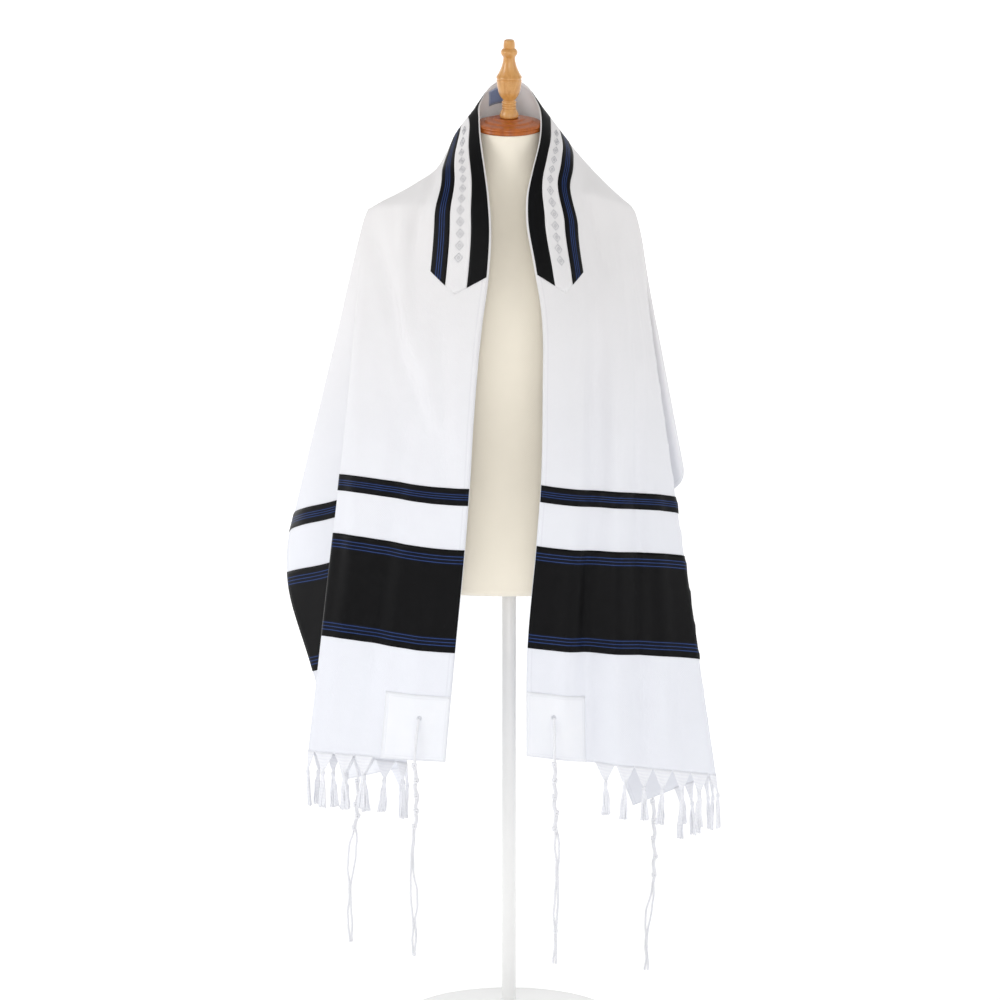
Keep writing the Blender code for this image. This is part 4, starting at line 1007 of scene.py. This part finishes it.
class SHAWL_OT_patches(bpy.types.Operator):
    """Sew on the corner patches, their eyelets and the bare neck label"""

    bl_idname = "shawl.patches"
    bl_label = "Corner patches"

    def execute(self, context):
        cotton = patch_cotton()
        thread = yarn("buttonhole_twist", "#F4F5F9", "#C9CCD6", 0.0012)
        start = HALF_LENGTH - PATCH_SIZE
        for side in SIGN:
            for place, low in (("front", 0.0), ("rear", CLOTH_WIDTH - PATCH_SIZE)):
                corner = f"patch_{place}_{side}"
                s, u = sewn_grid(side, start, PATCH_SIZE, low, low + PATCH_SIZE)
                uvs = (u - low, np.abs(s) - start)
                sew_on(corner, s, u, cotton, uvs, "patch", f"corner_{corner}")
                add_eyelet(f"eyelet_{place}_{side}", side, place, thread)
        add_label()
        return {"FINISHED"}


def eyelet_place(place):
    u = EYELET_FROM_SIDE if place == "front" else CLOTH_WIDTH - EYELET_FROM_SIDE
    return HALF_LENGTH - EYELET_FROM_END, u


def stitch_lozenge(work, sign, s, size):
    """A closed lozenge of raised floss, that far along the strip."""
    t = np.linspace(0, 4, 17)
    along = s + LOZENGE_LONG / 2 * size * np.interp(t, range(5), (-1, 0, 1, 0, -1))
    across = LOZENGE_MIDDLE + LOZENGE_WIDE / 2 * size * np.interp(t, range(5), (0, -1, 0, 1, 0))
    points, out = cloth_places(along * sign, across)
    work.add_tube(points + out * (ON_SEWN + 0.0003), 0.0005, flatten=0.7, first=out[0])


class SHAWL_OT_embroidery(bpy.types.Operator):
    """Work a plain lozenge border along the light strip of the neckband"""

    bl_idname = "shawl.embroidery"
    bl_label = "Neckband embroidery"

    def execute(self, context):
        silver = yarn("silver_grey_floss", "#CFCFD2", "#A6A7AD", 0.0016, roughness=0.5)
        work = Bundle()
        for sign in SIGN.values():
            for i in range(LOZENGE_COUNT):
                for size in (1.0, 0.35):
                    stitch_lozenge(work, sign, LOZENGE_FIRST + LOZENGE_PITCH * i, size)
        dress(work.build("lozenge_border", silver), "wool")
        return {"FINISHED"}


def add_tassel(bundle, side, at, place):
    """Yarns that leave the edge, meet in a knot and hang as a flat trimmed tail."""
    sizes = bpy.context.scene.shawl_fringe
    random = np.random.default_rng(1000 + place + (500 if side.sign > 0 else 0))

    def at_hem(u, inset=0.0):
        s = np.full(len(u), side.sign * (HALF_LENGTH - inset))
        return cloth_places(s, u)[0]

    fall = [0.05 * math.sin(110 * at + side.sign), 0.02 * math.cos(80 * at), -1.0]
    fall = unit(np.array(fall))
    root = at_hem([at])[0]
    down = unit(root - at_hem([at], 0.01)[0])
    near = at_hem([at - 0.006, at + 0.006])
    wide = unit(near[1] - near[0])
    wide = unit(wide - fall * np.dot(wide, fall))
    through = np.cross(fall, wide)
    drop = KNOT_BELOW + random.uniform(-0.001, 0.0015)
    knot = root + down * FLAT_WEB + fall * drop
    spread = np.linspace(-1, 1, sizes.yarns)
    starts = at_hem(at + spread * sizes.pitch * WEB_SHARE) - down * HELD_IN_HEM
    order = random.permutation(sizes.yarns)
    tail = TAIL_LENGTH + random.uniform(-0.003, 0.002)
    lean = random.uniform(-0.0022, 0.0022)
    for i, start in enumerate(starts):
        turn = 2 * math.pi * i / sizes.yarns
        aside, fore = math.cos(turn), math.sin(turn)
        tight = wide * aside * BUNCH_WIDE + through * fore * BUNCH_DEEP
        bulge = through * 0.0006 * fore
        path = [start, start + (knot - start) * 0.35, start + (knot - start) * 0.75 + bulge]
        path += [knot + tight * 0.8, knot + tight + fall * 0.005]
        sway = random.uniform(-0.0007, 0.0007, 2)
        for share in (0.2, 0.4, 0.6, 0.8, 1.0):
            flare = spread[order[i]] * (TAIL_WIDE + TAIL_FLARE * share)
            ripple = 0.0005 * math.sin(share * 9 + turn * 2)
            point = knot + fall * (TAIL_START + tail * share)
            point = point + wide * (flare + sway[0] * share + ripple + lean * share * share)
            path.append(point + through * (fore * 0.0012 + sway[1] * share))
        path[-1] = path[-1] + fall * random.uniform(-0.0015, 0.0008)
        radius = sizes.yarn_radius * random.uniform(0.9, 1.08)
        bundle.add_tube(smooth_path(path, 18), radius)
    wraps = circle(np.linspace(0, KNOT_WRAPS * 2 * math.pi, 34), wide, through * 0.85)
    drop = np.linspace(-0.0014, 0.0040, 34)[:, None]
    bundle.add_tube(knot + fall * drop + 0.0023 * wraps, 0.00110, sides=6)


class SHAWL_OT_fringe(bpy.types.Operator):
    """Gather, knot and trim the yarns of both fringed edges"""

    bl_idname = "shawl.fringe"
    bl_label = "Fringe"

    def execute(self, context):
        pitch = context.scene.shawl_fringe.pitch
        white = yarn("fringe_wool", "#F6F7FB", "#F0F1F7", 0.0046, ridge=0.08)
        for name, side in SIDES.items():
            bundle = Bundle()
            crease = float(side.u_crease(np.array([HALF_LENGTH]))[0])
            at = crease - pitch * int((crease - PATCH_SIZE) / pitch - 0.5)
            place = 0
            while at < CLOTH_WIDTH - PATCH_SIZE - pitch / 2:
                add_tassel(bundle, side, at, place)
                at += pitch
                place += 1
            dress(bundle.build(f"tassels_{name}", white), "fringe", f"fringe_{name}")
        return {"FINISHED"}


def add_plies(bundle, path, radius, plies, lay):
    """Threads laid round each other along a path, one turn for each lay."""
    path = smooth_path(path, max(24, int(len(path) * 2.2)))
    across, through = frames_along(path)
    for i in range(plies):
        turn = 2 * math.pi * (run_length(path) / lay + i / plies)
        bundle.add_tube(path + radius * circle(turn, across, through), radius * 0.85)


def add_winding(bundle, hanging, wound):
    """A core wound closely with one thread, with a double knot after each stretch."""
    bundle.add_tube(hanging(np.linspace(0.0, wound, 24)), CORE_RADIUS, sides=6)
    ends = np.linspace(0.006, wound - 0.004, WOUND_STRETCHES + 1)
    for low, high in zip(ends[:-1], ends[1:]):
        turns = int((high - low - 0.006) / WINDING_PITCH)
        t = np.linspace(0, 1, turns * 9)
        path = hanging(low + 0.004 + (high - low - 0.008) * t)
        turn = 2 * math.pi * turns * t
        ring = np.stack([np.cos(turn), np.sin(turn), 0 * turn], axis=-1)
        bundle.add_tube(path + WINDING_RADIUS * ring, WINDING_THREAD)
    for i, end in enumerate(ends):
        aside = np.array([0.0009 if i % 2 else -0.0009, 0, 0])
        add_knot(bundle, hanging([end])[0] + aside, *WOUND_KNOT)


def add_knot(bundle, centre, radius, thickness):
    """A double overhand knot: a thread that passes twice round and over itself."""
    t = np.linspace(0, 2 * math.pi, 30)
    loop = np.stack([np.cos(2 * t), 0.9 * np.sin(2 * t), 0.9 * np.sin(3 * t + 0.6)], axis=-1)
    bundle.add_tube(centre + radius * loop, thickness)


class SHAWL_OT_strings(bpy.types.Operator):
    """Wind and knot the corner strings, and let their loose ends hang"""

    bl_idname = "shawl.strings"
    bl_label = "Corner strings"

    def execute(self, context):
        cord = yarn("plied_wool_cord", "#F6F6F9", "#EAEBF0", 0.0026)
        for side, corner, wound, length, sways, loops in STRINGS:
            name = f"{corner}_{side}"
            bundle = Bundle()
            s, u = eyelet_place(corner)
            points, out = cloth_places(np.array([s, HALF_LENGTH]) * SIGN[side], [u, u])
            eyelet = points[0] + out[0] * 0.0016
            hem = points[1] + out[1] * STRING_CLEAR
            slack = points[0] * 0.62 + points[1] * 0.38 + out[0] * STRING_CLEAR * 0.92
            sways = np.array([0, *sways])
            phase = len(name)  # so that no two strings wave alike
            kink = 2 * math.pi / STRING_WAVE

            def hanging(distance):
                """Where the string's middle line hangs, that far below the hem."""
                distance = np.asarray(distance, float)
                loose = ease(wound - 0.01, wound + 0.02, distance)
                settled = ease(0, 0.02, distance) * (1 - 0.75 * loose)
                aside = read_table(np.linspace(0, 1, 5), sways, distance / length)
                aside = aside + STRING_SWAY * np.sin(kink * distance + phase) * settled
                fore = STRING_SWING * np.sin(kink * 0.77 * distance) * settled
                return hem + np.stack([aside, fore, -distance], axis=-1)

            first = smooth_path([eyelet, slack, hem, hanging([0.006])[0]], 16)
            add_plies(bundle, first, *DOUBLED_STRING)
            add_winding(bundle, hanging, wound)
            share = np.linspace(0, 1, 34)
            distance = np.minimum(wound - 0.004 + (length - wound + 0.004) * share, length)
            apart = np.interp(share, np.linspace(0, 1, len(loops)), loops) / 1000
            wave = 0.0003 * np.sin(share * 19 + phase) * ease(0, 0.3, share)
            for which in (-1, 1):
                aside = which * apart + wave
                turned = 0.0009 * np.cos(share * 23) * which
                path = hanging(distance) + np.stack([aside, turned, 0 * aside], axis=-1)
                add_plies(bundle, path, *LOOSE_STRAND)
            for i, half_gap in enumerate(loops[1:], 1):
                if half_gap < 1.0 and i % 2 == 0:  # the strands are tied together here
                    at = round(i / (len(loops) - 1) * (len(share) - 1))
                    add_knot(bundle, hanging(distance[at : at + 1])[0], *STRAND_KNOT)
            dress(bundle.build(f"knotted_strings_{name}", cord), "string", f"strings_{name}")
        return {"FINISHED"}


def edit_all():
    bpy.ops.object.mode_set(mode="EDIT")
    bpy.ops.mesh.select_all(action="SELECT")


def smooth_by_angle(piece, degrees):
    """Smooth shading, with the creases that are sharper than that kept."""
    bpy.ops.object.mode_set(mode="OBJECT")
    bpy.ops.object.shade_smooth_by_angle(angle=math.radians(degrees))
    piece.select_set(False)


def shape_torso(torso):
    """Move each ring of the tube to its cross section, with a small rolled foot."""
    heights, sections = np.array(TORSO)[:, 0], np.array(TORSO)[:, 1:]
    points = np.array([v.co for v in torso.data.vertices])
    ring = np.round((points[:, 2] + 0.5) / 0.01).astype(int)
    angle = np.arctan2(points[:, 1], points[:, 0])
    z = heights[0] + (heights[-1] - heights[0]) * ring / FORM_RINGS
    size = read_table(heights, sections, z)
    foot = np.sqrt(1 - (1 - np.clip(ring / 2.0, 0, 1)) ** 2) * FORM_ROLL - FORM_ROLL
    deep = np.where(np.sin(angle) > 0, size[:, 2], size[:, 1])
    x = np.cos(angle) * (size[:, 0] + foot)
    y = np.sin(angle) * (deep + foot)
    tilt = math.tan(NECK_TILT) * ease(heights[-4], heights[-1], z)
    points = np.stack([x, y, z + y * tilt], axis=-1)
    torso.data.vertices.foreach_set("co", points.ravel())
    torso.data.update()


def add_knit_uv(torso):
    """Knit ribs run up the form: u goes round it and v up it, both in metres."""
    layer = torso.data.uv_layers.new(name="ClothUV")
    for loop in torso.data.loops:
        x, y, z = torso.data.vertices[loop.vertex_index].co
        layer.data[loop.index].uv = (math.atan2(x, -y) * 0.12, z)


class SHAWL_OT_form(bpy.types.Operator):
    """Shape the jersey-covered dress form"""

    bl_idname = "shawl.form"
    bl_label = "Dress form"

    def execute(self, context):
        jersey = cream_jersey()
        bpy.ops.mesh.primitive_cylinder_add(
            vertices=FORM_SIDES, radius=0.1, depth=1.0, end_fill_type="NOTHING", location=(0, 0, 0)
        )
        torso = context.active_object
        torso.name = torso.data.name = "jersey_torso"
        edit_all()
        bpy.ops.mesh.delete(type="ONLY_FACE")
        bpy.ops.mesh.select_all(action="DESELECT")
        bpy.ops.mesh.select_mode(type="EDGE")
        mesh = bmesh.from_edit_mesh(torso.data)
        for edge in mesh.edges:
            edge.select_set(all(v.co.z < 0 for v in edge.verts))
        top = [v for v in mesh.verts if v.co.z > 0]
        bmesh.ops.delete(mesh, geom=top, context="VERTS")
        bmesh.update_edit_mesh(torso.data)
        for _ in range(FORM_RINGS):
            bpy.ops.mesh.extrude_region_move(TRANSFORM_OT_translate={"value": (0, 0, 0.01)})
        bpy.ops.object.mode_set(mode="OBJECT")
        shape_torso(torso)
        edit_all()
        bpy.ops.mesh.fill_holes(sides=0)
        bpy.ops.mesh.normals_make_consistent(inside=False)
        smooth_by_angle(torso, 40)
        torso.data.materials.append(jersey)
        add_knit_uv(torso)
        dress(torso, "jersey", "form_torso")
        return {"FINISHED"}


def turn_piece(context, name, profile, foot, axis, finish):
    """Spin a profile, rounded at its corners, about its own leaning axis."""
    points = [foot + Vector((r, 0, 0)) + axis * h for r, h in round_profile(profile)]
    edges = [(i, i + 1) for i in range(len(points) - 1)]
    mesh = bpy.data.meshes.new(name)
    mesh.from_pydata([tuple(p) for p in points], edges, [])
    mesh.materials.append(finish)
    piece = bpy.data.objects.new(name, mesh)
    context.scene.collection.objects.link(piece)
    bpy.ops.object.select_all(action="DESELECT")
    piece.select_set(True)
    context.view_layer.objects.active = piece
    edit_all()
    steps = context.scene.shawl_form.lathe_steps
    bpy.ops.mesh.spin(
        steps=steps, angle=2 * math.pi, center=foot, axis=axis, use_auto_merge=True
    )
    bpy.ops.mesh.select_all(action="SELECT")
    bpy.ops.mesh.remove_doubles(threshold=0.00002)
    bpy.ops.mesh.normals_make_consistent(inside=False)
    smooth_by_angle(piece, 38)


def round_profile(profile):
    """The lathe profile with each corner cut back in three short steps."""
    points = [Vector(row) for row in profile]
    rounded = [points[0]]
    for before, here, after in zip(points, points[1:], points[2:]):
        reach = min(0.0012, (before - here).length * 0.42, (after - here).length * 0.42)
        one = here + (before - here).normalized() * reach
        two = here + (after - here).normalized() * reach
        for t in (0.0, 0.33, 0.67, 1.0):
            rounded.append(one * (1 - t) ** 2 + here * 2 * t * (1 - t) + two * t * t)
    rounded.append(points[-1])
    return [(max(0.0, p.x), p.y) for p in rounded]


class SHAWL_OT_head(bpy.types.Operator):
    """Turn the wooden neck cap and the finial"""

    bl_idname = "shawl.head"
    bl_label = "Cap and finial"

    def execute(self, context):
        axis = Vector((0, -math.sin(NECK_TILT), math.cos(NECK_TILT)))
        foot = Vector((0, 0, NECK_TOP)) + axis * TOUCH_GAP
        stained = turned_wood("stained_beech", "#9A4806", "#BE640C", 0.3)
        turn_piece(context, "turned_cap", NECK_CAP, foot, axis, stained)
        clear = turned_wood("varnished_beech", "#C0823C", "#DDA862", 0.5)
        foot = foot + axis * (NECK_CAP[0][1] + TOUCH_GAP)
        turn_piece(context, "turned_finial", FINIAL, foot, axis, clear)
        dress(bpy.data.objects["turned_cap"], "cap_wood", "neck_cap")
        dress(bpy.data.objects["turned_finial"], "finial_wood", "finial")
        return {"FINISHED"}


def add_round(context, name, node, sides, edge, finish):
    """A round piece that fills its node's box, with its edges rolled over."""
    low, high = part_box(node)
    bpy.ops.mesh.primitive_cylinder_add(
        vertices=sides,
        radius=(high[0] - low[0]) / 2,
        depth=high[2] - low[2],
        location=(0, 0, (low[2] + high[2]) / 2),
    )
    piece = context.active_object
    piece.name = piece.data.name = name
    bpy.ops.object.transform_apply(location=True, rotation=True, scale=True)
    bevel = piece.modifiers.new("rolled edge", "BEVEL")
    bevel.width, bevel.segments = edge, 3
    bpy.ops.object.modifier_apply(modifier=bevel.name)
    smooth_by_angle(piece, 35)
    piece.data.materials.append(finish)
    dress(piece, "stand_paint", node)


class SHAWL_OT_stand(bpy.types.Operator):
    """Build the enamelled pole and its round base"""

    bl_idname = "shawl.stand"
    bl_label = "Stand"

    def execute(self, context):
        enamel = white_enamel()
        add_round(context, "round_base", "stand_base", 96, 0.0016, enamel)
        add_round(context, "upright_pole", "stand_pole", 48, 0.0006, enamel)
        return {"FINISHED"}


class SHAWL_OT_declare(bpy.types.Operator):
    """Gather the names of the sewn and hanging cloth pieces; nothing more is done with them"""

    bl_idname = "shawl.declare"
    bl_label = "Declare the cloth"

    def execute(self, context):
        names = ["neckband_inner", "neckband_middle", "neckband_outer"]
        names += ["woven_label", "lozenge_border"]
        for side in SIGN:
            names += [f"wide_band_{side}_satin", f"narrow_band_{side}_satin", f"tassels_{side}"]
            for kind in ("patch", "eyelet", "knotted_strings"):
                names += [f"{kind}_front_{side}", f"{kind}_rear_{side}"]
        return {"FINISHED"}


def add_backdrop(context):
    """A wide round floor of white paper, swept up evenly far out on all sides."""
    flat, bend, wall = 6.5, 3.0, 1.5
    bpy.ops.mesh.primitive_circle_add(vertices=96, radius=flat, fill_type="NGON")
    paper = context.active_object
    paper.name = paper.data.name = "backdrop"
    edit_all()
    bpy.ops.mesh.select_mode(type="EDGE")
    bpy.ops.mesh.region_to_loop()
    radius, height = flat, 0.0
    turns = [math.pi / 2 * i / 12 for i in range(1, 13)]
    rings = [(flat + bend * math.sin(t), bend * (1 - math.cos(t))) for t in turns]
    for ring_radius, ring_height in rings + [(flat + bend, bend + wall)]:
        rise = (0, 0, ring_height - height)
        bpy.ops.mesh.extrude_region_move(TRANSFORM_OT_translate={"value": rise})
        grow = ring_radius / radius
        bpy.ops.transform.resize(value=(grow, grow, 1), center_override=(0, 0, ring_height))
        radius, height = ring_radius, ring_height
    bpy.ops.object.mode_set(mode="OBJECT")
    paper.data.shade_smooth()
    paper.select_set(False)
    paper.data.materials.append(backdrop_paper())


def add_lights(context):
    for name, place, size, power in LAMPS:
        light = bpy.data.lights.new(name, "AREA")
        light.size, light.energy = size, power
        holder = bpy.data.objects.new(name, light)
        holder.location = place
        aim = Vector(LAMPS_AIM) - Vector(place)
        holder.rotation_euler = aim.to_track_quat("-Z", "Y").to_euler()
        context.scene.collection.objects.link(holder)
    world = bpy.data.worlds.new("studio")
    world.use_nodes = True
    sky = world.node_tree.nodes["Background"]
    sky.inputs[0].default_value = srgb("#FFFFFF")
    sky.inputs[1].default_value = 0.49
    context.scene.world = world
    # A plain transform keeps white cloth white and black satin black.
    context.scene.view_settings.view_transform = "Standard"


class SHAWL_OT_stage(bpy.types.Operator):
    """Set the floor and backdrop, the lights and the camera"""

    bl_idname = "shawl.stage"
    bl_label = "Stage"

    def execute(self, context):
        add_backdrop(context)
        add_lights(context)
        camera = bpy.data.cameras.new("Camera")
        camera.lens, camera.sensor_width = CAMERA_LENS, 36.0
        holder = bpy.data.objects.new("Camera", camera)
        holder.location = CAMERA_PLACE
        holder.rotation_euler = (CAMERA_PITCH, 0, 0)
        context.scene.collection.objects.link(holder)
        context.scene.camera = holder
        return {"FINISHED"}


class SHAWL_PT_panel(bpy.types.Panel):
    bl_label = "Prayer shawl"
    bl_idname = "SHAWL_PT_panel"
    bl_space_type = "VIEW_3D"
    bl_region_type = "UI"
    bl_category = "Shawl"

    def draw(self, context):
        for operator in OPERATORS:
            self.layout.operator(operator.bl_idname)
        for name, settings in SETTINGS.items():
            for key in settings.__annotations__:
                self.layout.prop(getattr(context.scene, name), key)


SETTINGS = {
    "shawl_cloth": ClothSettings,
    "shawl_fringe": FringeSettings,
    "shawl_form": FormSettings,
}
OPERATORS = (
    SHAWL_OT_cloth,
    SHAWL_OT_neckband,
    SHAWL_OT_bands,
    SHAWL_OT_patches,
    SHAWL_OT_embroidery,
    SHAWL_OT_fringe,
    SHAWL_OT_strings,
    SHAWL_OT_form,
    SHAWL_OT_head,
    SHAWL_OT_stand,
    SHAWL_OT_declare,
    SHAWL_OT_stage,
)


def register():
    for name, settings in SETTINGS.items():
        bpy.utils.register_class(settings)
        setattr(bpy.types.Scene, name, PointerProperty(type=settings))
    for operator in OPERATORS:
        bpy.utils.register_class(operator)
    bpy.utils.register_class(SHAWL_PT_panel)


def unregister():
    bpy.utils.unregister_class(SHAWL_PT_panel)
    for operator in reversed(OPERATORS):
        bpy.utils.unregister_class(operator)
    for name, settings in SETTINGS.items():
        delattr(bpy.types.Scene, name)
        bpy.utils.unregister_class(settings)


def main():
    register()
    for operator in OPERATORS:
        group, name = operator.bl_idname.split(".")
        result = getattr(getattr(bpy.ops, group), name)()
        if result != {"FINISHED"}:
            raise RuntimeError(f"{operator.bl_label} did not finish")
    bpy.ops.object.select_all(action="DESELECT")


if __name__ == "__main__":
    main()
